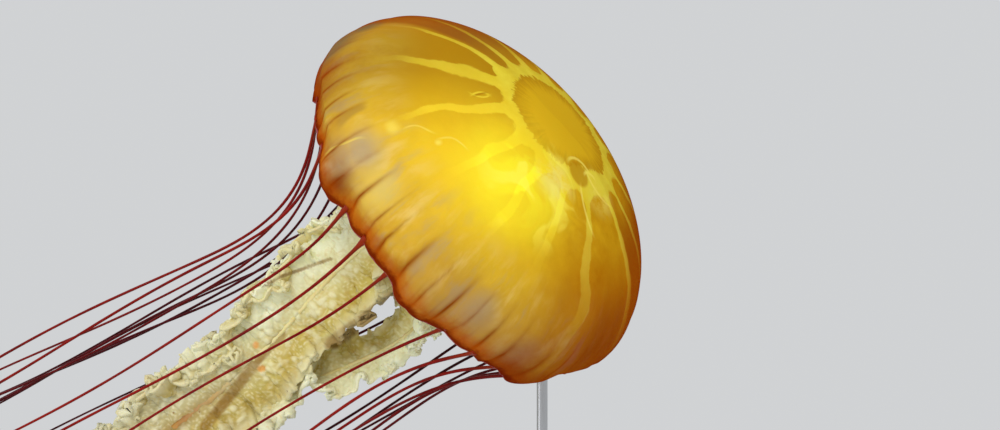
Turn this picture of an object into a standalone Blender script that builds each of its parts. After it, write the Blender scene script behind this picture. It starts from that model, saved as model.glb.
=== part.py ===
"""Sea nettle jellyfish, life size, held by a plain display stand. Metres, +Z up.

The origin is the middle of the stand's underside. The bell leans: its crown points up, to +X
and a little to -Y, and the tentacles and mouth arms trail down to -X.
"""

import math

import bmesh
import bpy
import numpy as np
from mathutils import Matrix, Vector

# ---- bell -----------------------------------------------------------------------------------
BELL_CENTRE = Vector((0.030, -0.020, 0.520))  # middle of the widest ring
BELL_LEAN = math.radians(24.0)  # crown towards -Y, turned first
BELL_TILT = math.radians(51.1)  # crown towards +X, turned second
BELL_RADIUS = 0.130
BELL_HEIGHT = 0.0816  # crown above the widest ring
MARGIN_DROP = 0.0266  # longest lobe below the widest ring
MARGIN_RADIUS = 0.1177
CROWN_JELLY = 0.014  # thickness of the jelly, crown to margin
WIDEST_JELLY = 0.0042
MARGIN_JELLY = 0.0014
PLEAT_BULGE = 0.0014  # how far each pleat swells out at the margin
SENSE_BULGE = 0.0030  # how much further the lobe round a sense organ does
OCTANTS = 8
FIRST_SENSE_ORGAN = math.radians(-77.0)
LAPPETS = 32
SCALLOP = 0.10  # shares of MARGIN_DROP
SENSE_LOBE = 0.20
SHORTEST_MARGIN = 0.64
SENSE_LOBE_WIDTH = math.radians(8.0)
CROWN_END = 0.5  # where the thick crown ends, 1.0 being the widest ring
BAND_TOP = 0.99  # where the margin band begins, 1.0 being the widest ring
SWELL_OVER = 0.5  # how far below that the lobes reach their full swell
FLANKS = (  # where the side is drawn in as the bell pulses: angle, width and depth
    (math.radians(-148.0), math.radians(30.0), 0.0080),
    (math.radians(-167.0), math.radians(7.0), 0.0030),
    (math.radians(-95.0), math.radians(25.0), 0.0020),
    (math.radians(-6.0), math.radians(15.0), 0.0060),
    (math.radians(158.0), math.radians(18.0), 0.0036),
    (math.radians(-176.0), math.radians(7.0), -0.0026),
)
DOME_ROWS, DOME_STEPS = 9, 48
CUT = 0.0003  # gap between pieces that meet

# ---- tentacles ------------------------------------------------------------------------------
TENTACLE_RADIUS = 0.00165
TENTACLE_TIP = 0.55  # shares of TENTACLE_RADIUS
TENTACLE_ROOT = 1.55
ROOT_GAP = 0.0012
LEAVE_BEND = 0.095  # length over which a tentacle turns from the bell's edge to its trail
SLOPE_HANG = 0.4  # how much longer that bend is at the rim's high and low sides
HANG = 1.6  # and how much longer still where the rim is highest
LEAVE_INWARD = 0.40  # how far it leans into the mouth as it leaves
LEAVE_HIGH = 0.25  # how much further at the rim's high side
LEAVE_STEEP = 0.80  # and how much further at both its high and low sides
TRAIL_PITCH = math.radians(30.0)
PITCH_SPREAD = math.radians(5.0)  # steeper by this from the rim's low side, and shallower from the high
TAIL_PITCH = math.radians(12.0)
TAIL_FROM, TAIL_OVER = 0.28, 0.42  # where along its length a tentacle levels off
TRAIL_AWAY = 0.10  # share of the trail that goes to +Y
FAN_OUT = 0.15
LONG_TENTACLE, SHORT_TENTACLE = 0.86, 0.50
LENGTH_SPREAD, LENGTH_SHIFT = 0.08, 2.3  # how the lengths differ from one tentacle to the next
UPPER_SHARE = 0.45  # of a tentacle in two lengths, in its upper one
CROSSING = (12, 13)  # short tentacles that bend under the bell's mouth, in two lengths like the long ones
WAVE = 0.07  # sideways lean of the slow waves
WAVE_LENGTH, SWAY_LENGTH = 0.31, 0.23
WAVE_SHIFT, SWAY_SHIFT = 1.9, 2.7  # turn of the waves from one tentacle to the next, in radians
ROOT_FADE = 30.0  # how quickly the wide root narrows
STEP = 0.004  # step of the route worked out along a tentacle

# ---- mouth arms -----------------------------------------------------------------------------
ARMS = 4
ARM_PIECES = ("root", "middle", "tip")
ARM_RINGS = 17  # in each length
ARM_STAGGER = 0.06  # each arm is shorter than the last by this share
ARM_ROUTE = (  # middle of the bundle, from the bell's centre
    Vector((0.0200, -0.0114, 0.0161)),
    Vector((-0.0180, 0.0090, -0.0112)),
    Vector((-0.070, 0.030, -0.032)),
    Vector((-0.144, 0.058, -0.108)),
    Vector((-0.265, 0.088, -0.215)),
    Vector((-0.415, 0.112, -0.285)),
    Vector((-0.590, 0.122, -0.325)),
)
BUNDLE_NECK, BUNDLE_BODY, BUNDLE_TIP = 0.0165, 0.0200, 0.0460  # bundle's middle to each midrib
LOW_ARM = 0  # the arm that hangs clear under the others near the bell
LOW_ARM_DROP = 0.040
LOW_ARM_AT, LOW_ARM_OVER = 0.17, 0.10
BUNDLE_TWIST = math.radians(150.0)
TWIST_FROM = 0.25  # where along the bundle the twist begins
ARM_HALF_WIDTH = 0.0175
ARM_NECK = 0.8  # shares of ARM_HALF_WIDTH
ARM_TIP = 0.25
NARROW_FROM = 0.35  # where along the arm it begins to narrow
NECK_OVER = 0.1
ARM_THICKNESS = 0.0034
ARM_EDGE = 0.0011
RUFFLE_HEIGHT = 0.0130
RUFFLE_LENGTH = 0.046
RUFFLE_GROWN = 0.06  # where along the arm the ruffles reach full height
RUFFLE_WANE = 0.45  # how much of their height they lose by the tip
ARM_SHIFT, LIP_SHIFT = 1.3, 2.2  # turn of the ruffles from arm to arm and from lip to lip, in radians

# ---- mouth stalk ----------------------------------------------------------------------------
MANUBRIUM_RADIUS = 0.021
MANUBRIUM_END = 0.030  # height above the widest ring, along the bell's axis
MANUBRIUM_WAIST = 0.22  # shares of MANUBRIUM_RADIUS
MANUBRIUM_LOBES = 0.14
MANUBRIUM_RINGS, MANUBRIUM_SIDES = 4, 16

# ---- stand ----------------------------------------------------------------------------------
BASE_SIZE = (0.380, 0.240, 0.008)
BASE_CORNER = 0.040
BASE_EDGE = 0.0015
ROD_RADIUS = 0.0035
ROD_GAP = 0.0011  # to the round face that the flat-sided dome stands for
ROD_PLACE = (0.046, 0.041)  # from the bell's centre, to +X and +Y


def clear_scene():
    for old in list(bpy.data.objects):
        bpy.data.objects.remove(old, do_unlink=True)


def material(name, rgb, roughness, metallic=0.0):
    made = bpy.data.materials.new(name)
    made.use_nodes = True
    shader = made.node_tree.nodes["Principled BSDF"]
    shader.inputs["Base Color"].default_value = (*rgb, 1.0)
    shader.inputs["Roughness"].default_value = roughness
    shader.inputs["Metallic"].default_value = metallic
    made.diffuse_color = (*rgb, 1.0)
    return made


def new_object(collection, name, data, surface):
    made = bpy.data.objects.new(name, data)
    data.materials.append(surface)
    collection.objects.link(made)
    return made


def smoothstep(x):
    x = min(max(x, 0.0), 1.0)
    return x * x * (3.0 - 2.0 * x)


def lofted(sections, ring_closed=False):
    """A mesh through like sections, each a loop of points. Its ends are capped unless they meet."""
    mesh = bpy.data.meshes.new("loft")
    shape = bmesh.new()
    rows = [[shape.verts.new(point) for point in section] for section in sections]
    around = len(sections[0])
    pairs = list(zip(rows, rows[1:]))
    if ring_closed:
        pairs.append((rows[-1], rows[0]))
    for row, after in pairs:
        for i in range(around):
            j = (i + 1) % around
            shape.faces.new((row[i], row[j], after[j], after[i]))
    if not ring_closed:
        shape.faces.new(list(reversed(rows[0])))
        shape.faces.new(rows[-1])
    bmesh.ops.recalc_face_normals(shape, faces=shape.faces)
    bmesh.ops.triangulate(shape, faces=shape.faces)
    shape.to_mesh(mesh)
    shape.free()
    mesh.shade_smooth()
    return mesh


# ---- bell shape, in the bell's own frame: crown at +Z, widest ring at z = 0 -----------------
def outer_wall(descent):
    """Radius and height of the outer face; descent is 0 at the crown, 1 at the widest, 2 at the margin."""
    if descent <= 1.0:
        turn = descent * math.pi / 2
        return BELL_RADIUS * math.sin(turn), BELL_HEIGHT * math.cos(turn)
    below = descent - 1.0
    return BELL_RADIUS - (BELL_RADIUS - MARGIN_RADIUS) * below**2, -MARGIN_DROP * below


def wall_direction(descent):
    """Unit direction down the wall, as radius and height."""
    step = 0.001
    r0, z0 = outer_wall(max(descent - step, 0.0))
    r1, z1 = outer_wall(descent + step)
    length = math.hypot(r1 - r0, z1 - z0)
    return (r1 - r0) / length, (z1 - z0) / length


def jelly(descent):
    if descent <= 1.0:
        return CROWN_JELLY + (WIDEST_JELLY - CROWN_JELLY) * descent**1.5
    return WIDEST_JELLY + (MARGIN_JELLY - WIDEST_JELLY) * (descent - 1.0)


def inner_wall(descent):
    r, z = outer_wall(descent)
    along_r, along_z = wall_direction(descent)
    depth = jelly(descent)
    return max(r + along_z * depth, 0.0), z - along_r * depth


def from_sense_organ(angle):
    """Angle to the nearest of the eight sense organs."""
    octant = 2 * math.pi / OCTANTS
    return (angle - FIRST_SENSE_ORGAN + octant / 2) % octant - octant / 2


def margin_reach(angle):
    """Descent of the bell's edge: scalloped into lappets, and lower at each sense organ."""
    away = from_sense_organ(angle)
    scallop = SCALLOP * (0.5 - 0.5 * math.cos(LAPPETS * away))
    lobe = SENSE_LOBE * math.exp(-((away / SENSE_LOBE_WIDTH) ** 2))
    return 1.0 + SHORTEST_MARGIN + scallop + lobe


def drawn_in(angle):
    """How far the sides are drawn in at the margin."""
    total = 0.0
    for middle, width, depth in FLANKS:
        away = (angle - middle + math.pi) % (2 * math.pi) - math.pi
        total += depth * math.exp(-((away / width) ** 2))
    return total


def swell(angle, descent):
    """How far the lobes stand out from the turned form towards the margin, less what is drawn in."""
    away = from_sense_organ(angle)
    pleat = PLEAT_BULGE * math.cos(2 * OCTANTS * away)
    lobe = SENSE_BULGE * math.exp(-((away / SENSE_LOBE_WIDTH) ** 2))
    return (pleat + lobe - drawn_in(angle)) * smoothstep((descent - BAND_TOP) / SWELL_OVER)


def on_wall(angle, descent, wall=outer_wall):
    r, z = wall(descent)
    r += swell(angle, descent)
    return Vector((r * math.cos(angle), r * math.sin(angle), z))


def bell_matrix():
    return Matrix.Rotation(BELL_TILT, 4, "Y") @ Matrix.Rotation(BELL_LEAN, 4, "X")


def turned_jelly(collection, name, top, bottom, surface):
    """A turned piece of the umbrella, between two descents. One that starts at the crown closes on the axis."""
    rows = round(DOME_ROWS * (bottom - top))
    descents = [top + (bottom - top) * i / rows for i in range(rows + 1)]
    profile = [outer_wall(d) for d in descents]
    profile += [inner_wall(d) for d in reversed(descents)]
    edges = [(i, i + 1) for i in range(len(profile) - 1)]
    if top > 0.0:
        edges.append((len(profile) - 1, 0))
    mesh = bpy.data.meshes.new(name)
    mesh.from_pydata([(r, 0.0, z) for r, z in profile], edges, [])
    made = new_object(collection, name, mesh, surface)
    turn = made.modifiers.new("turned", "SCREW")
    turn.axis = "Z"
    turn.steps = DOME_STEPS
    turn.render_steps = DOME_STEPS
    turn.use_merge_vertices = True
    turn.merge_threshold = 0.0001
    turn.use_smooth_shade = True
    return made


def bell_crown(collection, surface):
    """The thick top of the umbrella."""
    return turned_jelly(collection, "bell_crown", 0.0, CROWN_END, surface)


def bell_wall(collection, surface):
    """The thinner wall of the umbrella, from the crown to where the margin band begins."""
    return turned_jelly(collection, "bell_wall", CROWN_END + CUT / BELL_HEIGHT, BAND_TOP - CUT / MARGIN_DROP, surface)


def bell_margin(collection, surface):
    """The band of lappets round the bell's edge."""
    around = 3 * LAPPETS
    sections = []
    for i in range(around):
        angle = FIRST_SENSE_ORGAN + 2 * math.pi * i / around
        low = margin_reach(angle)
        heights = (BAND_TOP, (BAND_TOP + 2 * low) / 3, low)
        outer = [on_wall(angle, d) for d in heights]
        inner = [on_wall(angle, d, inner_wall) for d in heights]
        sections.append(outer + inner[::-1])
    return new_object(collection, "bell_margin", lofted(sections, ring_closed=True), surface)


def manubrium(collection, surface):
    """The four-cornered mouth stalk under the crown."""
    top = inner_wall(0.0)[1] - CUT
    sections = []
    for ring in range(MANUBRIUM_RINGS):
        share = ring / (MANUBRIUM_RINGS - 1)
        waist = MANUBRIUM_WAIST * math.sin(math.pi * share)
        height = top + (MANUBRIUM_END - top) * share
        loop = []
        for k in range(MANUBRIUM_SIDES):
            angle = 2 * math.pi * k / MANUBRIUM_SIDES
            radius = MANUBRIUM_RADIUS * (1.0 - waist + MANUBRIUM_LOBES * math.cos(ARMS * angle))
            ceiling = dome_ceiling(radius) - 2 * CUT if ring == 0 else height
            loop.append(Vector((radius * math.cos(angle), radius * math.sin(angle), min(height, ceiling))))
        sections.append(loop)
    return new_object(collection, "manubrium", lofted(sections), surface)


def dome_ceiling(radius):
    """Height of the dome's inner face at this distance from the bell's axis."""
    walls = [inner_wall(BAND_TOP * share) for share in np.linspace(0.0, 1.0, 10 * DOME_ROWS + 1)]
    return float(np.interp(radius, [r for r, _ in walls], [z for _, z in walls]))


# ---- routes, from the bell's centre in world axes -------------------------------------------
def trail_direction(along, out):
    """Which way a tentacle runs, this length from its root. Out points from the bell's axis to the root."""
    steep = TRAIL_PITCH - PITCH_SPREAD * out.z
    pitch = steep + (TAIL_PITCH - steep) * smoothstep((along - TAIL_FROM) / TAIL_OVER)
    return Vector((-math.cos(pitch), TRAIL_AWAY + FAN_OUT * out.y, -math.sin(pitch))).normalized()


def tentacle_route(angle, length, number):
    """Points of one tentacle, a STEP apart: down the bell's wall, then along the trail in slow waves."""
    turned = bell_matrix()
    reach = margin_reach(angle)
    radial = Vector((math.cos(angle), math.sin(angle), 0.0))
    out = turned @ radial
    down = turned @ Vector((0.0, 0.0, -1.0))
    high = out.z
    leave = (down - out * (LEAVE_INWARD + LEAVE_HIGH * high + LEAVE_STEEP * high**2)).normalized()
    start = on_wall(angle, reach) - radial * jelly(reach) / 2
    point = turned @ start + down * ROOT_GAP
    bend = LEAVE_BEND * (1.0 + SLOPE_HANG * abs(high) + HANG * max(high, 0.0) ** 3)
    route = [point.copy()]
    for i in range(round(length / STEP)):
        along = (i + 0.5) * STEP
        trail = trail_direction(along, out)
        bent = smoothstep(along / bend)
        wave = WAVE * bent * math.sin(2 * math.pi * along / WAVE_LENGTH + WAVE_SHIFT * number)
        sway = WAVE * bent * math.sin(2 * math.pi * along / SWAY_LENGTH + SWAY_SHIFT * number)
        way = leave.lerp(trail, bent) + Vector((0.0, sway, wave))
        point = point + way.normalized() * STEP
        route.append(point.copy())
    return route


def tentacle_radius(share):
    """Radius at this share of the length: a wider root, then a slow taper."""
    root = 1.0 + (TENTACLE_ROOT - 1.0) * math.exp(-share * ROOT_FADE)
    return TENTACLE_RADIUS * root * (1.0 + (TENTACLE_TIP - 1.0) * share)


def tube(collection, name, route, radii, surface):
    curve = bpy.data.curves.new(name, "CURVE")
    curve.dimensions = "3D"
    curve.bevel_depth = TENTACLE_RADIUS
    curve.bevel_resolution = 1
    curve.use_fill_caps = True
    spline = curve.splines.new("POLY")
    spline.points.add(len(route) - 1)
    for control, point, radius in zip(spline.points, route, radii):
        control.co = (*point, 1.0)
        control.radius = radius / TENTACLE_RADIUS
    made = new_object(collection, name, curve, surface)
    made.location = BELL_CENTRE
    return made


def picked(route, first, last, count, crowd=1.0):
    """count + 1 points of the route between two shares of it, crowded to the start if crowd is over 1."""
    shares = [first + (last - first) * (i / count) ** crowd for i in range(count + 1)]
    whole = len(route) - 1
    points = []
    for share in shares:
        place = share * whole
        low = min(int(place), whole - 1)
        points.append(route[low].lerp(route[low + 1], place - low))
    return points, shares


def tentacles(collection, surface):
    """Three tentacles in each octant, in the clefts between the lappets. Most are in two lengths."""
    lappet = 2 * math.pi / LAPPETS
    crowd = 1.35
    for number in range(3 * OCTANTS):
        octant, place = divmod(number, 3)
        angle = FIRST_SENSE_ORGAN + octant * 2 * math.pi / OCTANTS + (place + 1) * lappet
        short = place == (2 if octant % 2 else 0)
        uneven = 1.0 + LENGTH_SPREAD * math.sin(LENGTH_SHIFT * number)
        length = (SHORT_TENTACLE if short else LONG_TENTACLE) * uneven
        route = tentacle_route(angle, length, number)
        name = f"tentacle_{number + 1:02d}"
        if short and number + 1 not in CROSSING:
            points, shares = picked(route, 0.0, 1.0, 9, crowd)
            tube(collection, name, points, [tentacle_radius(s) for s in shares], surface)
            continue
        gap = 2 * CUT / length
        points, shares = picked(route, 0.0, UPPER_SHARE, 8, crowd)
        tube(collection, name + "_upper", points, [tentacle_radius(s) for s in shares], surface)
        points, shares = picked(route, UPPER_SHARE + gap, 1.0, 6)
        tube(collection, name + "_lower", points, [tentacle_radius(s) for s in shares], surface)


def smooth_route(stops, count):
    """Evenly spaced points on a smooth curve through the stops, and its length."""
    padded = [stops[0] * 2 - stops[1], *stops, stops[-1] * 2 - stops[-2]]
    steps = 40  # between two stops
    fine = []
    for a, b, c, d in zip(padded, padded[1:], padded[2:], padded[3:]):
        square = 2 * a - 5 * b + 4 * c - d
        cube = 3 * b - a - 3 * c + d
        fine += [0.5 * (2 * b + (c - a) * t + square * t**2 + cube * t**3) for t in np.arange(steps) / steps]
    fine.append(stops[-1].copy())
    lengths = np.concatenate([[0.0], np.cumsum([(q - p).length for p, q in zip(fine, fine[1:])])])
    wanted = np.linspace(0.0, lengths[-1], count)
    axes = [np.interp(wanted, lengths, [point[k] for point in fine]) for k in range(3)]
    return [Vector(point) for point in zip(*axes)], float(lengths[-1])


def arm_spread(arm, share):
    """Distance from the bundle's middle line to the midrib of an arm."""
    body = BUNDLE_BODY - BUNDLE_NECK
    tip = BUNDLE_TIP - BUNDLE_BODY
    spread = BUNDLE_NECK + body * smoothstep(share / NECK_OVER) + tip * smoothstep((share - 0.30) / 0.70)
    if arm == LOW_ARM:
        spread += LOW_ARM_DROP * math.exp(-(((share - LOW_ARM_AT) / LOW_ARM_OVER) ** 2))
    return spread


def arm_section(arm, share, total, centre, ahead):
    """Six points round one mouth arm: a midrib with a ruffled lip on each side, facing out of the bundle."""
    across = ahead.cross(Vector((0.0, 1.0, 0.0))).normalized()
    beyond = ahead.cross(across).normalized()
    twist = BUNDLE_TWIST * smoothstep((share - TWIST_FROM) / (1.0 - TWIST_FROM))
    azimuth = 2 * math.pi / ARMS * arm + twist
    out = across * math.cos(azimuth) + beyond * math.sin(azimuth)
    side = ahead.cross(out)
    middle = centre + out * arm_spread(arm, share)
    neck = ARM_NECK + (1.0 - ARM_NECK) * smoothstep(share / NECK_OVER)
    narrowing = 1.0 - (1.0 - ARM_TIP) * smoothstep((share - NARROW_FROM) / (1.0 - NARROW_FROM))
    height = RUFFLE_HEIGHT * smoothstep(share / RUFFLE_GROWN) * (1.0 - RUFFLE_WANE * share)
    phase = 2 * math.pi * share * total / RUFFLE_LENGTH + ARM_SHIFT * arm
    edges = []
    for hand, shift in ((1.0, 0.0), (-1.0, LIP_SHIFT)):
        rise = height * (0.5 + 0.5 * math.sin(phase + shift))
        edges.append(middle + side * (hand * ARM_HALF_WIDTH * neck * narrowing) + out * rise)
    rib = out * (ARM_THICKNESS * (1.0 - share / 2) / 2)
    lip = out * (ARM_EDGE / 2)
    return [edges[0] + lip, middle + rib, edges[1] + lip, edges[1] - lip, middle - rib, edges[0] - lip]


def mouth_arms(collection, surface):
    """Four frilled mouth arms hanging from the stalk in a loose twisted bundle, each in three lengths."""
    whole = len(ARM_PIECES) * (ARM_RINGS - 1)
    centres, total = smooth_route(ARM_ROUTE, whole + 1)
    for arm in range(ARMS):
        reach = 1.0 - ARM_STAGGER * arm
        for piece, label in enumerate(ARM_PIECES):
            sections = []
            for k in range(ARM_RINGS):
                place = piece * (ARM_RINGS - 1) + k
                if k == 0 and piece:
                    place += CUT * whole / (total * reach)
                share = place / whole * reach
                low = min(int(share * whole), whole - 1)
                centre = centres[low].lerp(centres[low + 1], share * whole - low)
                ahead = (centres[low + 1] - centres[max(low - 1, 0)]).normalized()
                sections.append(arm_section(arm, share, total, centre, ahead))
            made = new_object(collection, f"mouth_arm_{arm + 1}_{label}", lofted(sections), surface)
            made.location = BELL_CENTRE


def stand_base(collection, surface):
    """A flat steel plate with round corners."""
    mesh = bpy.data.meshes.new("stand_base")
    plate = bmesh.new()
    bmesh.ops.create_cube(plate, size=1.0)
    bmesh.ops.scale(plate, vec=BASE_SIZE, verts=plate.verts)
    bmesh.ops.translate(plate, vec=(0.0, 0.0, BASE_SIZE[2] / 2), verts=plate.verts)
    upright = [e for e in plate.edges if abs(e.verts[0].co.z - e.verts[1].co.z) > BASE_SIZE[2] / 2]
    bmesh.ops.bevel(plate, geom=upright, offset=BASE_CORNER, segments=6, affect="EDGES", profile=0.5)
    plate.to_mesh(mesh)
    plate.free()
    made = new_object(collection, "stand_base", mesh, surface)
    rounded = made.modifiers.new("edges", "BEVEL")
    rounded.width = BASE_EDGE
    rounded.segments = 1
    rounded.limit_method = "ANGLE"
    rounded.angle_limit = math.radians(60.0)
    return made


def rod_top(x, y):
    """Height at which a plumb line at this place, from inside the bell, meets the dome."""
    to_bell = bell_matrix().inverted()
    step = 0.0001
    for height in np.arange(0.0, BELL_RADIUS, step):
        inside = to_bell @ Vector((x, y, height))
        if inside.z > dome_ceiling(math.hypot(inside.x, inside.y)):
            break
    return float(height)


def stand_rod(collection, surface):
    """A plumb steel rod from the plate into the bell, its top cut to the slope of the dome's inside."""
    mesh = bpy.data.meshes.new("stand_rod")
    rod = bmesh.new()
    bmesh.ops.create_cone(
        rod, cap_ends=True, segments=16, radius1=ROD_RADIUS, radius2=ROD_RADIUS, depth=1.0
    )
    place = BELL_CENTRE + Vector((*ROD_PLACE, 0.0))
    for corner in rod.verts:
        x, y = corner.co.x + ROD_PLACE[0], corner.co.y + ROD_PLACE[1]
        if corner.co.z < 0.0:
            corner.co.z = BASE_SIZE[2] + CUT
        else:
            corner.co.z = BELL_CENTRE.z + rod_top(x, y) - ROD_GAP
        corner.co.x += place.x
        corner.co.y += place.y
    bmesh.ops.triangulate(rod, faces=[f for f in rod.faces if len(f.verts) > 4])
    rod.to_mesh(mesh)
    rod.free()
    mesh.shade_smooth()
    mesh.set_sharp_from_angle(angle=math.radians(40.0))
    return new_object(collection, "stand_rod", mesh, surface)


def main():
    clear_scene()
    collection = bpy.data.collections.new("sea nettle jellyfish")
    bpy.context.scene.collection.children.link(collection)
    gold = material("bell_jelly", (0.76, 0.40, 0.02), 0.30)
    red = material("margin_jelly", (0.45, 0.09, 0.01), 0.30)
    maroon = material("tentacle_flesh", (0.22, 0.01, 0.01), 0.35)
    cream = material("mouth_arm_flesh", (0.72, 0.66, 0.36), 0.45)
    coated = material("coated_steel", (0.10, 0.10, 0.11), 0.45)
    bright = material("stainless_steel", (0.60, 0.60, 0.61), 0.30, 1.0)
    for made in (
        bell_crown(collection, gold),
        bell_wall(collection, gold),
        bell_margin(collection, red),
        manubrium(collection, cream),
    ):
        made.location = BELL_CENTRE
        made.rotation_euler = (BELL_LEAN, BELL_TILT, 0.0)
    tentacles(collection, maroon)
    mouth_arms(collection, cream)
    stand_base(collection, coated)
    stand_rod(collection, bright)


main()
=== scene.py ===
"""Sea nettle jellyfish on its display stand: skin, frilled lips, stand finishes, floor, lights, camera.

Lengths are in metres. The bell's own frame has the crown at +Z and the widest ring at z = 0. A place on the
bell is an angle round it and d, which is 0 at the crown, 1 at the widest ring and more towards the margin.
"""

import math

import bpy
import numpy as np
from mathutils import Matrix, Vector


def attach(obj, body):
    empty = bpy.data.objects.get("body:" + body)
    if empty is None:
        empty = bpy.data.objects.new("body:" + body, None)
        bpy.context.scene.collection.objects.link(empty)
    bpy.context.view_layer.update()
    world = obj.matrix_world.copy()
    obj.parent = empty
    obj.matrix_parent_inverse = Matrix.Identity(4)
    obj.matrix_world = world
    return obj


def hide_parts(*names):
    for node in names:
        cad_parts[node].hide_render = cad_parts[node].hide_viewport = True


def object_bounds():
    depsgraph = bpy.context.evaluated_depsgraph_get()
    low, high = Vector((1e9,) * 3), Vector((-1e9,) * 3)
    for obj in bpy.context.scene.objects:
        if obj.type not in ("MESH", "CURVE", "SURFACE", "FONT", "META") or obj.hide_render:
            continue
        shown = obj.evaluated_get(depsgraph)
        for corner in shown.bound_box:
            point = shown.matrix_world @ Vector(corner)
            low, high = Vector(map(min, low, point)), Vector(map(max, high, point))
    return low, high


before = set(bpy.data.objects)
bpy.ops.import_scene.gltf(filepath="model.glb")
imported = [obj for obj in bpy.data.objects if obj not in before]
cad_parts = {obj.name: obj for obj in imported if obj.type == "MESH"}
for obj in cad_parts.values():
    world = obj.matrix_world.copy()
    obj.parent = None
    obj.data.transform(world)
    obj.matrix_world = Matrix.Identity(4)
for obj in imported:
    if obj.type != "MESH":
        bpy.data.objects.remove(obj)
CAD_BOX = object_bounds()

# ---- the body's sizes, as in the CAD --------------------------------------------------------
BELL_CENTRE = np.array((0.030, -0.020, 0.520))
BELL_LEAN, BELL_TILT = math.radians(24.0), math.radians(51.1)
BELL_RADIUS, BELL_HEIGHT = 0.130, 0.0816
MARGIN_DROP, MARGIN_RADIUS = 0.0266, 0.1177
CROWN_JELLY, WIDEST_JELLY, MARGIN_JELLY = 0.014, 0.0042, 0.0014
PLEAT_BULGE, SENSE_BULGE = 0.0014, 0.0030
OCTANTS, LAPPETS = 8, 32
FIRST_SENSE_ORGAN = math.radians(-77.0)
SCALLOP, SENSE_LOBE, SHORTEST_MARGIN = 0.10, 0.20, 0.64
SENSE_LOBE_WIDTH = math.radians(8.0)
BAND_TOP, SWELL_OVER = 0.99, 0.5
DRAWN_FROM = 0.72  # how far down the bell its sides begin to draw in
FLANKS = (  # where the bell's side is drawn in as it pulses: angle, width and depth
    (math.radians(-148.0), math.radians(30.0), 0.0080),
    (math.radians(-167.0), math.radians(7.0), 0.0030),
    (math.radians(-95.0), math.radians(25.0), 0.0020),
    (math.radians(-6.0), math.radians(15.0), 0.0060),
    (math.radians(158.0), math.radians(18.0), 0.0036),
    (math.radians(-176.0), math.radians(7.0), -0.0026),
)
TENTACLE_RADIUS, TENTACLE_TIP, TENTACLE_ROOT, ROOT_FADE = 0.00165, 0.55, 1.55, 30.0
ROOT_GAP, LEAVE_BEND, SLOPE_HANG, HANG = 0.0012, 0.095, 0.4, 1.6
LEAVE_INWARD, LEAVE_HIGH, LEAVE_STEEP = 0.40, 0.25, 0.80
TRAIL_PITCH, PITCH_SPREAD, TAIL_PITCH = math.radians(30.0), math.radians(5.0), math.radians(12.0)
TAIL_FROM, TAIL_OVER = 0.28, 0.42
TRAIL_AWAY, FAN_OUT = 0.10, 0.15
LONG_TENTACLE, SHORT_TENTACLE = 0.86, 0.50
LENGTH_SPREAD, LENGTH_SHIFT = 0.08, 2.3
WAVE, WAVE_LENGTH, SWAY_LENGTH, WAVE_SHIFT, SWAY_SHIFT = 0.07, 0.31, 0.23, 1.9, 2.7
STEP = 0.004
ARMS, ARM_STAGGER = 4, 0.06
ARM_ROUTE = np.array(
    (
        (0.0200, -0.0114, 0.0161),
        (-0.0180, 0.0090, -0.0112),
        (-0.070, 0.030, -0.032),
        (-0.144, 0.058, -0.108),
        (-0.265, 0.088, -0.215),
        (-0.415, 0.112, -0.285),
        (-0.590, 0.122, -0.325),
    )
)
BUNDLE_NECK, BUNDLE_BODY, BUNDLE_TIP, BUNDLE_OPENS = 0.0165, 0.0200, 0.0460, 0.30
LOW_ARM, LOW_ARM_DROP, LOW_ARM_AT, LOW_ARM_OVER = 0, 0.040, 0.17, 0.10
BUNDLE_TWIST, TWIST_FROM = math.radians(150.0), 0.25
ARM_NECK, NARROW_FROM, NECK_OVER = 0.8, 0.35, 0.1
ARM_THICKNESS = 0.0034
MANUBRIUM_RADIUS, MANUBRIUM_END, MANUBRIUM_WAIST, MANUBRIUM_LOBES = 0.021, 0.030, 0.22, 0.14

# ---- how the visible model is finer than the CAD --------------------------------------------
PATTERN_ARC = 0.198  # crown to margin along the skin, over which the markings are laid out
BELL_AROUND = 512  # points round the bell
OUTER_MAP, INNER_MAP = (0.37, 0.37, 0.365), (0.872, 0.125, 0.118)  # discs on the map: middle and radius
FURROWS = 46  # radial creases round the bell's lower part, about 18 mm apart
CREASE_DEPTH, SLOW_DEPTH, CREASE_LIFT = 0.0016, 0.0012, 0.0006
RAGGED_MARGIN = 0.02  # how uneven the margin's edge is, in d
RAY_SHIFTS = (  # where the rays stand away from even spacing: angle, width and turn, in degrees
    (-166.0, 24.0, 9.0),
    (-118.0, 16.0, 2.5),
    (-55.0, 13.0, 3.5),
    (-36.0, 9.0, 2.0),
    (-3.0, 15.0, -6.0),
)
TENTACLES_EACH = 3  # tentacles in an octant
TENTACLE_FOOT, TENTACLE_STRIP = 0.745, 0.252 / (TENTACLES_EACH * OCTANTS)  # each one's strip of the map
RIB_LEFT, RIB_FOOT, RIB_STRIP, STALK_MAP = 0.75, 0.27, 0.08, (0.75, 0.60, 1.0, 0.73)
TENTACLE_RINGS, TENTACLE_SIDES, RINGS_CROWD = 112, 8, 1.35  # rings crowd towards the root
SLIM = 0.58  # the living tentacle, drawn out thin, against the CAD's
ROOT_FLARE, FLARE_LENGTH, ROOT_SQUEEZE, SQUEEZE_LENGTH = 0.80, 0.008, 0.35, 0.012
RIB_RINGS, RIB_SIDES, RIB_HALF_WIDTH = 150, 8, 0.0042
LIP_ROWS, LIP_ACROSS, LIP_WIDTH = 1240, 30, 0.031
RUFFLES = (  # wavelength, height at the edge, how late across the lip it grows
    (0.064, 0.0080, 0.9),
    (0.027, 0.0050, 1.3),
    (0.0125, 0.0026, 1.2),
    (0.0052, 0.0008, 2.0),
)
TOOTH_LONG, TOOTH_APART = 0.0009, 0.0038  # the nicked edge of a lip
NEAR_ARM = 1  # the arm on the side the model is shown from
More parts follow.
